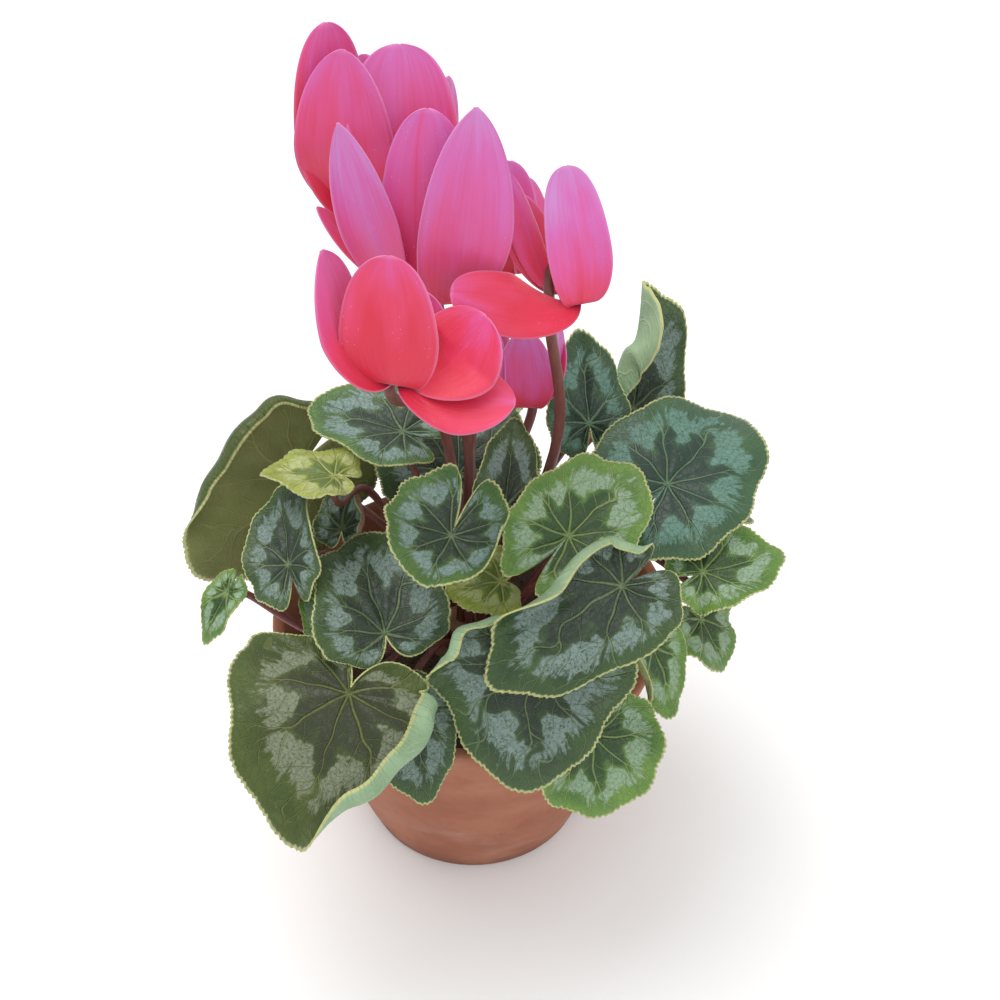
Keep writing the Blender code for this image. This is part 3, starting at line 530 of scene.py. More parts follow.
def under_finish(name, pattern, flesh, deep, vein):
    """A blade's matt underside, where the veins stand out."""
    material, tree = new_material(name)
    masks, share, mottle = blade_masks(tree, pattern, UNDER_BAND)
    tone = blend(step(mottle, 0.3, 0.75), flesh, deep)
    tone = tint(tone, masks["Net"], 0.2, vein)
    tone = tint(tone, masks["Vein"], 0.5, vein)
    tone = blend(step(share, 0.965, 0.985), tone, CREAM_MARGIN)
    return complete(material, tone, 0.6, times(masks["Relief"], -1.0), 0.5, 0.0008)


def petal_finish():
    """Velvety petals: dark throat, red, pink to purple, a paler edge, a painted sky-light sheen."""
    material, tree = new_material("petal")
    parts = split(own_plan(tree))
    along = parts[1]
    edge = calc("ABSOLUTE", line(parts[0], 2.0, -1.0))
    place = place_at(parts[0], along, attribute(tree, "seed"))
    cloudy = cloud(stretch(place, (1.6, 1.2, 1.0)), 1.8, 2.0)
    streaks = cloud(stretch(place, (26.0, 1.6, 1.0)), 1.0, 3.0)
    # painted sky-light sheen: each petal's kept value pushes its tone further towards purple
    hue_and_sky_sheen = line(attribute(tree, "lilac"), 0.55, line(along, 0.85, -0.46))
    hue_and_sky_sheen = line(centred(cloudy), 0.7, hue_and_sky_sheen)
    ramp = add_node(tree, "ShaderNodeValToRGB", {"Fac": hue_and_sky_sheen})
    stops = ramp.color_ramp.elements
    stops[0].position, stops[0].color = 0.0, colour(210, 38, 68)
    stops[1].position, stops[1].color = 1.0, colour(196, 140, 204)
    between = {0.22: (216, 56, 94), 0.45: (214, 78, 142), 0.70: (206, 100, 176)}
    for position, pink in between.items():
        stops.new(position).color = colour(*pink)
    tone = tint(ramp.outputs["Color"], step(streaks, 0.4, 0.75), 0.18, (190, 24, 70))
    tone = blend(step(along, 0.16, 0.02), tone, (138, 10, 58))
    rim = calc("MAXIMUM", step(edge, 0.93, 1.0), step(along, 0.975, 1.0))
    tone = tint(tone, rim, 0.32, (232, 150, 200))
    dots = cells(stretch(place, (14.0, 26.0, 1.0)), 1.6)
    speck = times(step(dots, 0.11, 0.06), step(cloudy, 0.5, 0.62))
    tone = tint(tone, speck, 0.6, (250, 190, 214))
    relief = calc("ADD", streaks, times(cloudy, 1.5))
    others = {"Sheen Weight": 0.25, "Sheen Roughness": 0.4}
    return complete(material, tone, 0.5, relief, 0.35, 0.0006, others)


def clay_finish():
    """Low-fired red clay: mottled, lime bloom, turning lines, tiny pits with painted shade."""
    material, tree = new_material("terracotta")
    place = own_place(tree)
    height = split(place)[2]
    mottle = cloud(place, 34.0, 5.0, 0.6)
    tone = blend(step(mottle, 0.3, 0.7), (144, 84, 60), (162, 104, 78))
    bloom = cloud(stretch(place, (1.0, 1.0, 2.4)), 22.0, 4.0, 0.65)
    tone = tint(tone, step(bloom, 0.52, 0.8), 0.4, (178, 144, 128))
    # darker towards the foot, fading out about 12 millimetres up, with a ragged edge
    foot_band = line(centred(mottle), 0.02, height)
    tone = tint(tone, step(foot_band, 0.012, 0.0), 0.5, (104, 62, 48))
    turning_lines = cloud(stretch(place, (6.0, 6.0, 900.0)), 1.0, 2.0)
    sparse = step(cloud(place, 150.0), 0.52, 0.6)
    pits = times(step(cells(place, 420.0), 0.16, 0.05), sparse)
    # painted shade: the pits are tinted darker as well as sunk in by the relief
    tone = tint(tone, pits, 0.7, (84, 50, 42))
    relief = line(turning_lines, 0.35, times(cloud(place, 900.0, 3.0), 0.4))
    return complete(material, tone, 0.78, line(pits, -1.2, relief), 0.4, 0.0006)


def soil_finish():
    """Moist peat, dark brown, with lighter fibres."""
    material, tree = new_material("peat")
    place = own_place(tree)
    tone = blend(cloud(place, 260.0, 5.0, 0.7), (34, 24, 18), (84, 62, 46))
    fibres = cloud(stretch(place, (1.0, 4.0, 2.0)), 300.0, 2.0)
    tone = tint(tone, step(fibres, 0.66, 0.72), 0.6, (132, 104, 76))
    return complete(material, tone, 0.95, cloud(place, 700.0, 4.0), 0.8, 0.001)


def cork_finish():
    """The tuber's brown, corky skin."""
    material, tree = new_material("tuber_skin")
    place = own_place(tree)
    tone = blend(cloud(place, 140.0, 5.0, 0.7), (70, 46, 34), (140, 104, 78))
    return complete(material, tone, 0.85, cloud(place, 320.0, 5.0), 0.8, 0.0012)


def stalk_finish():
    """Fleshy stalks: wine red, browner in places, with lengthwise streaks."""
    material, tree = new_material("stalk")
    place = own_place(tree)
    streaks = cloud(stretch(place, (1.0, 1.0, 0.12)), 700.0, 2.0)
    tone = blend(cloud(place, 30.0), (118, 44, 50), (92, 70, 52))
    tone = tint(tone, step(streaks, 0.45, 0.7), 0.35, (140, 74, 74))
    return complete(material, tone, 0.45, streaks, 0.3, 0.0004)


def plain_finish(name, first, second, scale):
    """Two close tones mottled together, with a fine grain."""
    material, tree = new_material(name)
    place = own_place(tree)
    tone = blend(step(cloud(place, scale, 4.0), 0.3, 0.7), first, second)
    return complete(material, tone, 0.5, cloud(place, scale * 4), 0.3, 0.0004)


# Modelling

def deselect():
    """Leaves nothing selected."""
    bpy.ops.object.select_all(action="DESELECT")


def in_edit(action):
    """Runs edit-mode operators on the active piece with everything selected."""
    bpy.ops.object.mode_set(mode="EDIT")
    bpy.ops.mesh.select_all(action="SELECT")
    action()
    bpy.ops.object.mode_set(mode="OBJECT")


def merge():
    """Merges the selected points that lie on one another."""
    bpy.ops.mesh.remove_doubles(threshold=MERGE)


def face_outwards():
    """Turns the selected faces outwards."""
    bpy.ops.mesh.normals_make_consistent(inside=False)


def modify(piece, name, kind, **settings):
    """Gives the piece a modifier with its settings, and applies it."""
    modifier = piece.modifiers.new(name, kind)
    for setting, value in settings.items():
        setattr(modifier, setting, value)
    bpy.context.view_layer.objects.active = piece
    bpy.ops.object.modifier_apply(modifier=modifier.name)


def named(piece, name):
    """Names the piece and its mesh."""
    piece.name = name
    piece.data.name = name
    return piece


def dress(piece, material):
    """Gives the piece its finish and smooth shading."""
    piece.data.materials.append(material)
    piece.data.shade_smooth()
    return piece


def new_object(name, data):
    """Puts data into the scene as an object."""
    made = bpy.data.objects.new(name, data)
    bpy.context.scene.collection.objects.link(made)
    return made


def join(name, pieces):
    """Joins pieces into one object of that name."""
    deselect()
    for piece in pieces:
        piece.select_set(True)
    bpy.context.view_layer.objects.active = pieces[0]
    bpy.ops.object.join()
    joined = named(bpy.context.object, name)
    deselect()
    return joined


def stand_for(piece, node):
    """The piece rides on the plant and takes the solid's place."""
    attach(piece, "root")
    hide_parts(node)


def turned(name, profile, sides, material):
    """A closed body about Z: a disc that is extruded and resized along (radius, height) points."""
    deselect()
    radius, height = profile[0]
    bpy.ops.mesh.primitive_circle_add(
        vertices=sides, radius=radius, fill_type="NGON", location=(0, 0, height))
    piece = bpy.context.object
    bpy.ops.object.transform_apply(location=True)
    bpy.ops.object.mode_set(mode="EDIT")
    for wide, high in profile[1:]:
        bpy.ops.mesh.extrude_region_move(TRANSFORM_OT_translate={"value": (0, 0, high - height)})
        bpy.ops.transform.resize(value=(wide / radius, wide / radius, 1))
        radius, height = wide, high
    bpy.ops.object.mode_set(mode="OBJECT")
    in_edit(face_outwards)
    return dress(named(piece, name), material)


def sheet(name, columns, rows):
    """A flat grid, with the place of its points across and along from -1 to 1."""
    deselect()
    bpy.ops.mesh.primitive_grid_add(
        x_subdivisions=columns, y_subdivisions=rows, size=2, calc_uvs=True)
    piece = named(bpy.context.object, name)
    flat = np.zeros(len(piece.data.vertices) * 3, np.float32)
    piece.data.vertices.foreach_get("co", flat)
    flat = flat.reshape(-1, 3).astype(float)
    return piece, flat[:, 0], flat[:, 1]


def set_points(piece, points):
    """Moves the piece's points."""
    piece.data.vertices.foreach_set("co", np.asarray(points, np.float32).ravel())
    piece.data.update()


def set_plan(piece, first, second):
    """Lays the piece's UV map out by two values kept for each point."""
    layer = piece.data.uv_layers[0]
    layer.name = "plan"
    corner = np.zeros(len(piece.data.loops), int)
    piece.data.loops.foreach_get("vertex_index", corner)
    plan = np.stack([first[corner], second[corner]], 1)
    layer.data.foreach_set("uv", plan.astype(np.float32).ravel())


def set_value(piece, name, values):
    """Keeps one value for each point."""
    kept = piece.data.attributes.new(name, "FLOAT", "POINT")
    filled = np.zeros(len(piece.data.vertices), np.float32) + values
    kept.data.foreach_set("value", filled.astype(np.float32))


# Leaf blades

def turn(vector, axis, degrees):
    """Turns a vector about a unit axis."""
    c, s = cos(radians(degrees)), sin(radians(degrees))
    return vector * c + np.cross(axis, vector) * s + axis * (vector @ axis) * (1 - c)


def leaf_frame(leaf):
    """The blade's own directions: along the midrib, to its right side, and up out of its face."""
    h, r = radians(leaf.heading), radians(leaf.rise)
    along = np.array([cos(r) * cos(h), cos(r) * sin(h), sin(r)])
    right = turn(np.array([sin(h), -cos(h), 0.0]), along, -leaf.roll)
    return along, right, np.cross(right, along)


def heart_radius(leaf, angle):
    """Margin of a heart-shaped blade, as a share of its size, at an angle from the tip."""
    body = BLADE_FLANK + (1 - BLADE_FLANK) * np.clip(np.cos(angle), 0, 1) ** 3
    ahead = np.clip(np.abs(angle), 0, pi / 2)
    shoulder = 1 - leaf.taper * np.sin(2 * ahead) ** 2
    notch = 1 - NOTCH_DEPTH * np.exp(-(((pi - np.abs(angle)) / NOTCH) ** 2))
    corners = 1 + MARGIN_CORNERS * np.cos(BLADE_VEINS * angle)
    return body * shoulder * notch * corners * (1 - MARGIN_INSET)


def arc(distance, turn_rate):
    """Runs along a curve of constant turning: gives how far along and how far up it gets."""
    if turn_rate == 0:
        return distance, distance * 0
    return np.sin(turn_rate * distance) / turn_rate, (1 - np.cos(turn_rate * distance)) / turn_rate


def curled(distance, half, keel, curl):
    """Runs across half a blade that turns ever more: how far out and up it gets."""
    steps = (np.arange(CURL_STEPS) + 0.5) / CURL_STEPS
    angle = keel + curl * np.outer(distance / half, steps) ** 2
    return distance * np.cos(angle).mean(axis=1), distance * np.sin(angle).mean(axis=1)


def bent(leaf, forward, sideways, lift):
    """Bends a flat blade along its keel, its curled margins, its drooping tip and its lobes."""
    along, right, up = leaf_frame(leaf)
    half = leaf.width / 2
    keel = radians(leaf.keel)
    out_left, up_left = curled(np.abs(sideways), half, keel, radians(leaf.curl_left))
    out_right, up_right = curled(np.abs(sideways), half, keel, radians(leaf.curl_right))
    across = np.where(sideways > 0, out_right, -out_left)
    lift = lift + np.where(sideways > 0, up_right, up_left)
    tip_rate = -radians(leaf.droop) / leaf.length
    lobe_rate = -radians(leaf.lobes) / (leaf.length * 0.5)
    tip_run, tip_up = arc(np.abs(forward), tip_rate)
    lobe_run, lobe_up = arc(np.abs(forward), lobe_rate)
    run = np.where(forward > 0, tip_run, -lobe_run)
    rise = np.where(forward > 0, tip_up, lobe_up)
    slope = np.where(forward > 0, tip_rate * forward, -lobe_rate * np.abs(forward))
    run = run - lift * np.sin(slope)
    rise = rise + lift * np.cos(slope)
    base = np.array(leaf.base, float)
    return base + run[:, None] * along + across[:, None] * right + rise[:, None] * up


def unit(vectors):
    """The vectors' directions."""
    return vectors / np.maximum(np.linalg.norm(vectors, axis=1), 1e-9)[:, None]


def folded(flap, shape, angle, share):
    """Folds part of the margin up along its hinge line; shape places the unfolded points."""
    hinge = np.minimum(share, flap.hinge)
    near = shape(angle, hinge)
    far = shape(angle, share) - near
    outward = shape(angle, hinge + 0.02) - near
    ring = shape(angle + 0.05, hinge) - shape(angle - 0.05, hinge)
    axis = unit(np.cross(outward, np.cross(ring, outward)))
    aside = np.abs((angle - radians(flap.middle) + pi) % tau - pi)
    inside = np.clip((radians(flap.span) - aside) / FLAP_EASE, 0, 1)
    turn = radians(flap.turn) * inside ** 2 * (3 - 2 * inside)
    swing = turn / 2 * (share - hinge) / (1 - flap.hinge)
    c, s = np.cos(swing)[:, None], np.sin(swing)[:, None]
    swung = far * c + np.cross(axis, far) * s + axis * (axis * far).sum(axis=1)[:, None] * (1 - c)
    return near + swung * np.sinc(swing / pi)[:, None]


def blade_flat(leaf, angle, share, teeth):
    """The blade laid flat: how far forward and sideways its points are, in millimetres."""
    uneven = 0.65 + 0.35 * np.sin(teeth * 0.31 * angle + leaf.heading)
    tooth = TOOTH_DEPTH / leaf.length * uneven * (0.5 - 0.5 * np.cos(teeth * angle)) * share ** 10
    radius = heart_radius(leaf, angle) * share - tooth
    forward = radius * np.cos(angle) * leaf.length
    forward = np.where(forward < 0, forward * leaf.back, forward)
    return forward, radius * np.sin(angle) * leaf.width / 2 / BLADE_FLANK


def ruffles(leaf, chance):
    """Waves of the margin: how many, how high in millimetres, their start and their power."""
    waves = [(5, leaf.wave, leaf.heading, 2)]
    for cycles in (3, 8, 13):
        waves.append((cycles, chance.uniform(1.5, 3.5) / cycles, chance.uniform(0, tau), 4))
    return waves


def blade_relief(waves, angle, share):
    """Bulges between the veins and waves of the margin, in millimetres."""
    between = 0.5 - 0.5 * np.cos(BLADE_VEINS * angle)
    lift = BULGE * between * np.sin(pi * np.clip(share * 1.1, 0, 1))
    for cycles, height, start, power in waves:
        lift = lift + height * share ** power * np.sin(cycles * angle + start)
    return lift


def model_blade(node, leaf, number, upper, under):
    """A finely toothed blade: a grid wrapped round its stalk, shaped, merged and thickened."""
    chance = random.Random(number)
    teeth = round(pi * (leaf.length * 0.7 + leaf.width * 0.55) / TOOTH_SPACING)
    piece, across, along = sheet(f"{node}_blade", teeth * 4, BLADE_RINGS)
    angle = across * pi
    share = np.clip(along * 0.5 + 0.5, 0, 1) ** 0.8
    forward, sideways = blade_flat(leaf, angle, share, teeth)
    waves = ruffles(leaf, chance)

    def shape(angle, share):
        return bent(leaf, *blade_flat(leaf, angle, share, teeth), blade_relief(waves, angle, share))

    set_points(piece, folded(leaf.flap, shape, angle, share) * MM)
    set_plan(piece, sideways / PLAN + 0.5, forward / PLAN + 0.5)
    set_value(piece, "share", share)
    set_value(piece, "seed", number * 7.3)
    in_edit(merge)
    up = Vector(leaf_frame(leaf)[2])
    root = Vector(leaf.base) * MM
    near = leaf.length * MM / 3
    heart = [face for face in piece.data.polygons if (face.center - root).length < near]
    if sum(face.normal.dot(up) * face.area for face in heart) < 0:
        in_edit(bpy.ops.mesh.flip_normals)
    piece.data.materials.append(upper)
    piece.data.materials.append(under)
    modify(piece, "thickness", "SOLIDIFY", thickness=BLADE_THICKNESS, offset=0,
           material_offset=1, material_offset_rim=0)
    piece.data.shade_smooth()
    stand_for(piece, node)


# Stalks

def smooth_path(points, steps):
    """A smooth curve through the points (Catmull-Rom), with a few steps between each two."""
    points = [np.array(p, float) for p in points]
    ends = [2 * points[0] - points[1]] + points + [2 * points[-1] - points[-2]]
    path = []
    for a, b, c, d in zip(ends, ends[1:], ends[2:], ends[3:]):
        for k in range(steps):
            t = k / steps
            path.append(0.5 * (2 * b + (c - a) * t + (2 * a - 5 * b + 4 * c - d) * t * t
                               + (3 * b - a - 3 * c + d) * t ** 3))
    path.append(points[-1])
    return path


def stalk_root(angle, distance):
    """Where a stalk starts, inside the tuber."""
    return np.array([distance * cos(angle), distance * sin(angle), TUBER_TOP - ROOT_DEPTH])


def leaf_stalk_path(name, leaf):
    """From the tuber up and outwards, and into the blade's underside."""
    along, _, up = leaf_frame(leaf)
    base = np.array(leaf.base, float) * MM
    end = base - up * STALK_TO_BLADE
    under = end - up * 0.010 - along * 0.002
    root = stalk_root(atan2(base[1], base[0]), LEAF_ROOT_CIRCLE)
    bend = root + (under - root) * (0.42, 0.42, 0.58)
    bend[2] += 0.008
    if name in STALK_BENDS:
        bend = np.array(STALK_BENDS[name], float) * MM
    return smooth_path([root, bend, under, end], PATH_STEPS) + [base + up * 0.1 * MM]


def square_to(crown, heading):
    """The direction square to the crown's that is nearest to a heading."""
    heading = radians(heading)
    side = np.array([cos(heading), sin(heading), 0.0])
    side = side - crown * (side @ crown)
    return side / np.linalg.norm(side)


def flower_frame(flower):
    """The flower's own directions: from its mouth to its crown, to its stalk's side, and across."""
    lean_x, lean_y = radians(flower.lean_x), radians(flower.lean_y)
    crown = np.array([tan(lean_x), tan(lean_y), 1.0])
    crown = crown / np.linalg.norm(crown)
    side = square_to(crown, flower.stalk_side)
    return crown, side, np.cross(crown, side)


def flower_stalk_path(flower, number):
    """Up from the tuber, past the mouth, over in a hook and down into the crown."""
    crown, side, _ = flower_frame(flower)
    mouth = np.array(flower.mouth, float)
    root = stalk_root(number * FLOWER_ROOT_STEP, FLOWER_ROOT_CIRCLE) / MM
    hook = [mouth + crown * height + side * distance for height, distance in HOOK]
    return [point * MM for point in smooth_path([root, flower.bend] + hook, PATH_STEPS)]


def model_stalk(name, path, radii, material):
    """A round stalk: a bevelled curve, thinner towards its end, made a mesh."""
    curve = bpy.data.curves.new(name, "CURVE")
    curve.dimensions = "3D"
    curve.bevel_depth = 1.0
    curve.bevel_resolution = 3
    curve.use_fill_caps = True
    spline = curve.splines.new("POLY")
    spline.points.add(len(path) - 1)
    for number, (point, place) in enumerate(zip(spline.points, path)):
        share = number / (len(path) - 1)
        point.co = (*place, 1.0)
        point.radius = radii[0] * (1 - share) + radii[1] * share
    stalk = new_object(name, curve)
    deselect()
    stalk.select_set(True)
    bpy.context.view_layer.objects.active = stalk
    bpy.ops.object.convert(target="MESH")
    return dress(bpy.context.object, material)


def in_flower(piece, flower):
    """Puts a piece modelled in millimetres about Z, with the mouth at 0, onto the flower's axis."""
    crown, side, across = flower_frame(flower)
    turned_to = Matrix((side, across, crown)).transposed().to_4x4()
    place = Matrix.Translation(Vector(flower.mouth) * MM) @ turned_to @ Matrix.Scale(MM, 4)
    piece.data.transform(place)
    return piece


def model_sepals(flower, material):
    """The cup under the stalk's end, with its pointed sepals lying on the flower's tube."""
    cup = turned("cup", CUP_PROFILE, CUP_SIDES, material)
    pieces = [in_flower(cup, flower)]
    for number in range(SEPALS):
        sepal, across, along = sheet("sepal", *SEPAL_GRID)
        rise = along * 0.5 + 0.5
        heading = tau * (number + 0.5) / SEPALS
        turn_by = heading + across * 0.62 * (1 - rise) ** 0.7
        radius = 3.9 + 1.0 * rise + 0.3 * (1 - np.abs(across))
        height = SEPAL_ROOT - SEPAL_LENGTH * rise
        set_points(sepal, np.stack([radius * np.cos(turn_by), radius * np.sin(turn_by), height], 1))
        modify(sepal, "thickness", "SOLIDIFY", thickness=SEPAL_THICKNESS, offset=1)
        pieces.append(in_flower(dress(sepal, material), flower))
    return pieces


def model_crown(stalk, green, skin):
    """The tuber with all its stalks and the flowers' cups."""
    tuber = turned("tuber", [(r * MM, z * MM) for r, z in TUBER_PROFILE], TUBER_SIDES, skin)
    for point in tuber.data.vertices:
        lump = noise.noise(point.co * 140) * 0.9 * MM
        point.co += Vector((point.co.x, point.co.y, 0)).normalized() * lump
        point.co.z += noise.noise(point.co * 210) * 0.8 * MM
    pieces = [tuber]
    for name, leaf in LEAVES.items():
        path = leaf_stalk_path(name, leaf)
        pieces.append(model_stalk(f"{name}_stalk", path, LEAF_STALK_RADII, stalk))
    for number, (name, flower) in enumerate(FLOWERS.items()):
        path = flower_stalk_path(flower, number)
        pieces.append(model_stalk(f"{name}_stalk", path, FLOWER_STALK_RADII, stalk))
        pieces.extend(model_sepals(flower, green))
    stand_for(join("tuber_and_stalks", pieces), "crown")


# Flowers

def petal_width(along, point):
    """The petal's share of its full width: narrow at the mouth, broad further out."""
    claw = 0.30 + 0.70 * np.sin(np.clip(along / 0.62, 0, 1) * pi / 2) ** 1.2
    tip = (1 - np.clip((along - 0.45) / 0.55, 0, 1) ** 2.6) ** point
    return np.maximum(claw * tip, PETAL_END)


def petal_spine(start, tip, out, crown, along):
    """The petal's middle line, out from the mouth and bowed back to its tip, and its direction."""
    reach = np.linalg.norm(tip - start)
    first = start + out * 0.20 * reach - crown * 0.06 * reach
    second = start + (tip - start) * 0.55 + out * 0.08 * reach
    t = along[:, None]
    s = 1 - t
    spine = s ** 3 * start + 3 * t * s ** 2 * first + 3 * t * t * s * second + t ** 3 * tip
    ahead = s ** 2 * (first - start) + 2 * t * s * (second - first) + t * t * (tip - second)
    return spine, unit(ahead)


def petal_place(flower, petal, along, across, ripple):
    """Places points of a petal: along it from 0 at the mouth to 1, and across from -1 to 1."""
    crown = flower_frame(flower)[0]
    out = square_to(crown, petal.side)
    start = np.array(flower.mouth, float) + out * MOUTH_RADIUS
    spine, ahead = petal_spine(start, np.array(petal.tip, float), out, crown, along)
    beside = np.cross(crown, out)
    flank = unit(beside - ahead * (ahead @ beside)[:, None])
    face = np.cross(ahead, flank)
    half = petal.width / 2
    curl = radians(1) * np.where(across < 0, petal.cup_left, petal.cup_right)
    out_by = np.abs(across) * half * petal_width(along, petal.point)
    aside, lift = curled(out_by, half, 0.0, curl[:, None])
    aside = aside * np.sign(across)
    lift = lift + ripple
    swing = radians(petal.turn) * np.clip(along / PETAL_TURN_LENGTH, 0, 1)
    sideways = aside * np.cos(swing) - lift * np.sin(swing)
    upwards = aside * np.sin(swing) + lift * np.cos(swing)
    return (spine + sideways[:, None] * flank - upwards[:, None] * face) * MM


def model_petal(flower, petal, number, material):
    """A petal from a grid, with a soft midline groove and a rippled edge, given its thickness."""
    chance = random.Random(number)
    piece, across, along = sheet("petal", *PETAL_GRID)
    along = np.sin((along * 0.5 + 0.5) * pi / 2)
    ripple = PETAL_RIPPLE * np.abs(across) ** 2 * np.sin(along * 9 + chance.uniform(0, tau))
    groove = PETAL_GROOVE * np.exp(-((across / 0.12) ** 2)) * np.sin(pi * along)
    lift = ripple * np.sign(across) + groove
    set_points(piece, petal_place(flower, petal, along, across, lift))
    set_plan(piece, across * 0.5 + 0.5, along)
    # painted sky-light sheen: how far this petal's tone is pushed towards purple
    set_value(piece, "lilac", petal.lilac)
    set_value(piece, "seed", number * 3.1)
    modify(piece, "thickness", "SOLIDIFY", thickness=PETAL_THICKNESS, offset=0)
    return dress(piece, material)


def model_flower(name, flower, number, petal_material, style_material):
    """The nodding tube with its swept-back petals and the style in its mouth."""
    tube = turned("tube", TUBE_PROFILE, TUBE_SIDES, petal_material)
    tube.data.uv_layers.new(name="plan")
    heights = np.array([point.co.z for point in tube.data.vertices])
    set_plan(tube, heights * 0 + 0.5, np.clip((heights - 1.0) / 30, 0, 0.2))
    # painted sky-light sheen on the tube, pushing its tone part way towards purple
    set_value(tube, "lilac", 0.4)
    set_value(tube, "seed", number * 1.7)
    pieces = [in_flower(tube, flower)]
    for place, petal in enumerate(flower.petals):
        pieces.append(model_petal(flower, petal, number * 10 + place, petal_material))
    style = in_flower(turned("style", STYLE_PROFILE, STYLE_SIDES, style_material), flower)
    stand_for(join(f"{name}_petals", pieces + [style]), name)


# Pot and soil

def pot_radius(height):
    """Outer radius of the pot's tapered wall."""
    return POT_BASE_RADIUS + POT_FLARE * height


def inner_radius(height):
    """Inner radius of the pot's tapered wall."""
    return pot_radius(height) - POT_WALL


def model_pot(material):
    """A turned clay pot with a rounded lip and three drain holes."""
    heights = [POT_HEIGHT * k / 10 for k in range(1, 10)]
    profile = [(POT_BASE_RADIUS + outwards, up) for outwards, up in POT_FOOT]
    profile += [(pot_radius(height), height) for height in heights]
    lip_centre = pot_radius(POT_HEIGHT) - POT_WALL / 2 - 0.0004
    for k in range(LIP_STEPS + 1):
        angle = pi * k / LIP_STEPS
        profile.append((lip_centre + cos(angle) * POT_WALL / 2,
                        POT_HEIGHT - LIP_ROUND + sin(angle) * LIP_ROUND))
    profile += [(inner_radius(height), height) for height in reversed(heights[1:])]
    profile += [(inner_radius(POT_FLOOR), POT_FLOOR + 0.001),
                (inner_radius(POT_FLOOR) - 0.001, POT_FLOOR)]
    pot = turned("clay_pot", profile, POT_SIDES, material)
    for number in range(DRAIN_HOLES):
        angle = tau * (number + 0.25) / DRAIN_HOLES
        deselect()
        bpy.ops.mesh.primitive_cylinder_add(
            vertices=24, radius=DRAIN_RADIUS, depth=POT_FLOOR * 4,
            location=(DRAIN_CIRCLE * cos(angle), DRAIN_CIRCLE * sin(angle), 0))
        drill = bpy.context.object
        modify(pot, "drain", "BOOLEAN", operation="DIFFERENCE", object=drill)
        bpy.data.objects.remove(drill)
    for point in pot.data.vertices:
        if point.co.z > POT_FLOOR / 2:
            out = Vector((point.co.x, point.co.y, 0)).normalized()
            point.co += out * noise.noise(point.co * 24) * POT_UNEVEN
    pot.data.shade_smooth()
    pot.data.set_sharp_from_angle(angle=radians(50))
    stand_for(pot, "pot")


def soil_height(x, y):
    """The lumpy top of the potting mix."""
    lump = noise.noise(Vector((x, y, 0)) * 70) * 1.6 + noise.noise(Vector((x, y, 5)) * 220) * 0.9
    return SOIL_EDGE + lump * MM


def model_mix_top(edge, material):
    """The rough top of the potting mix: a grid wrapped round, merged and given its thickness."""
    top, across, along = sheet("mix_top", *MIX_GRID)
    angle = across * pi
    radius = (along * 0.5 + 0.5) * edge
    x, y = radius * np.sin(angle), radius * np.cos(angle)
    heights = [soil_height(a, b) - 0.003 * (r / edge) ** 30 for a, b, r in zip(x, y, radius)]
    set_points(top, np.stack([x, y, heights], 1))
    in_edit(merge)
    in_edit(face_outwards)
    inwards = -1 if top.data.polygons[0].normal.z > 0 else 1
    modify(top, "thickness", "SOLIDIFY", thickness=MIX_SHEET, offset=inwards)
    return dress(top, material)


def model_crumbs(edge, material):
    """Loose crumbs on the mix, all round the tuber: copies of one, each stretched and turned."""
    bpy.ops.mesh.primitive_ico_sphere_add(subdivisions=1, radius=1.0)
    crumb = bpy.context.object
    crumb.data.materials.append(material)
    chance = random.Random(CRUMB_SEED)
    crumbs = []
    for _ in range(CRUMBS):
        angle = chance.uniform(0, tau)
        away = sqrt(chance.uniform((TUBER_RADIUS / edge) ** 2, 1)) * (edge - 0.002)
        x, y = away * cos(angle), away * sin(angle)
        size = chance.uniform(*CRUMB_SIZES) * MM
        sizes = (size, size * chance.uniform(0.5, 1.2), size * chance.uniform(0.4, 0.8), 1)
        turn_by = chance.uniform(0, tau)
        axis = (1, chance.uniform(-1, 1), chance.uniform(-1, 1))
        place = Matrix.Translation((x, y, soil_height(x, y) + size * 0.2))
        mesh = crumb.data.copy()
        mesh.transform(place @ Matrix.Rotation(turn_by, 4, axis) @ Matrix.Diagonal(sizes))
        crumbs.append(new_object("crumb", mesh))
    bpy.data.objects.remove(crumb)
    return crumbs


def model_soil(material):
    """The potting mix: a body that fills the pot, a rough top and loose crumbs on it."""
    edge = inner_radius(SOIL_EDGE) - MIX_GAP
    floor = POT_FLOOR + 0.0006
    profile = [(inner_radius(floor) - 0.002, floor),
               (edge - 0.001, SOIL_EDGE - 0.006), (edge - 0.004, SOIL_EDGE - 0.003)]
    body = turned("mix_body", profile, MIX_SIDES, material)
    top = model_mix_top(edge, material)
    mix = join("potting_mix", [body, top] + model_crumbs(edge, material))
    stand_for(mix, "soil")


# Stage

def soft_light(name, place, size, power, tone):
    """A square lamp that points at the plant."""
    lamp = bpy.data.lights.new(name, "AREA")
    lamp.size = size
    lamp.energy = power
    lamp.color = tone
    holder = new_object(name, lamp)
    holder.location = place
    aim = Vector(LAMP_AIM) - Vector(place)
    holder.rotation_euler = aim.to_track_quat("-Z", "Y").to_euler()


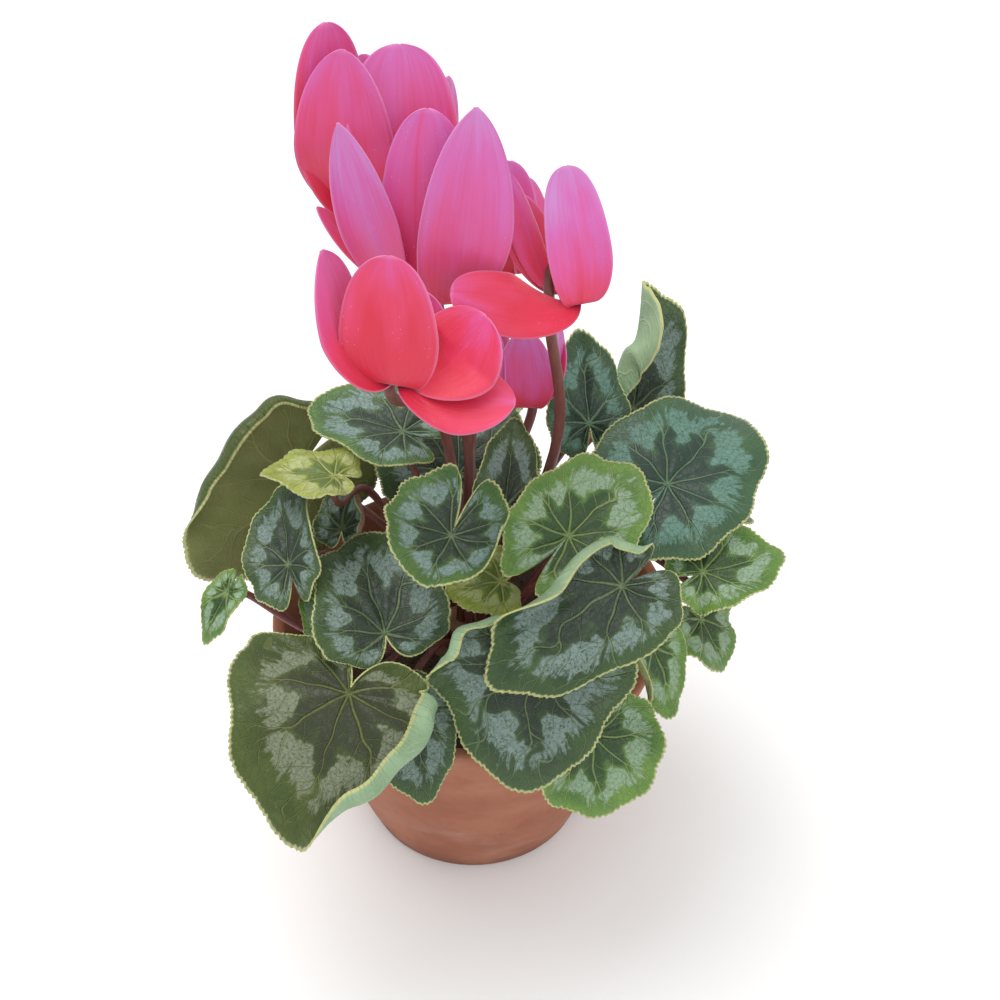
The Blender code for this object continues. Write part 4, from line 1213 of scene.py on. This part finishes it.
def set_stage():
    """A plain pale floor, soft light and the camera."""
    deselect()
    bpy.ops.mesh.primitive_plane_add(size=8)
    floor = bpy.context.object
    floor.name = "floor"
    material, tree = new_material("floor_paint")
    tree.nodes["Principled BSDF"].inputs["Base Color"].default_value = colour(250, 250, 250)
    tree.nodes["Principled BSDF"].inputs["Roughness"].default_value = 0.9
    floor.data.materials.append(material)

    world = bpy.data.worlds.new("sky")
    world.use_nodes = True
    sky = world.node_tree.nodes["Background"]
    sky.inputs["Color"].default_value = (0.97, 0.985, 1.0, 1.0)
    sky.inputs["Strength"].default_value = SKY_STRENGTH
    bpy.context.scene.world = world
    bpy.context.scene.view_settings.view_transform = "Standard"
    soft_light("overhead", (-0.3, 0.25, 1.5), 1.2, 13, (1.0, 0.98, 0.95))
    soft_light("front", (0.5, -1.2, 1.1), 1.0, 5, (1.0, 0.98, 0.96))

    view = bpy.data.cameras.new("camera")
    view.lens = LENS
    view.sensor_width = SENSOR
    camera = new_object("camera", view)
    camera.location = CAMERA_PLACE
    tilt = Matrix.Rotation(radians(CAMERA_TILT), 4, "X")
    roll = Matrix.Rotation(radians(CAMERA_ROLL), 4, "Z")
    camera.rotation_euler = (tilt @ roll).to_euler()
    bpy.context.scene.camera = camera


def main():
    """Dresses the plant and sets the stage."""
    pattern = blade_pattern()
    uppers = {}
    for name, tones in UPPER_TONES.items():
        band = OLIVE_BAND if name == "olive" else SILVER_BAND
        uppers[name] = upper_finish(f"blade_{name}", pattern, *tones, band)
    unders = {name: under_finish(f"underside_{name}", pattern, *tones)
              for name, tones in UNDER_TONES.items()}
    for number, (name, leaf) in enumerate(LEAVES.items()):
        upper, under = BLADE_FINISH.get(name, ("dark", "mint"))
        model_blade(name, leaf, number, uppers[upper], unders[under])
    stalk = stalk_finish()
    sepal_green = plain_finish("sepal", (112, 92, 62), (128, 60, 62), 300)
    model_crown(stalk, sepal_green, cork_finish())
    petal_material = petal_finish()
    style_material = plain_finish("style", (206, 120, 60), (170, 60, 60), 500)
    for number, (name, flower) in enumerate(FLOWERS.items()):
        model_flower(name, flower, number, petal_material, style_material)
    model_pot(clay_finish())
    model_soil(soil_finish())
    set_stage()


main()
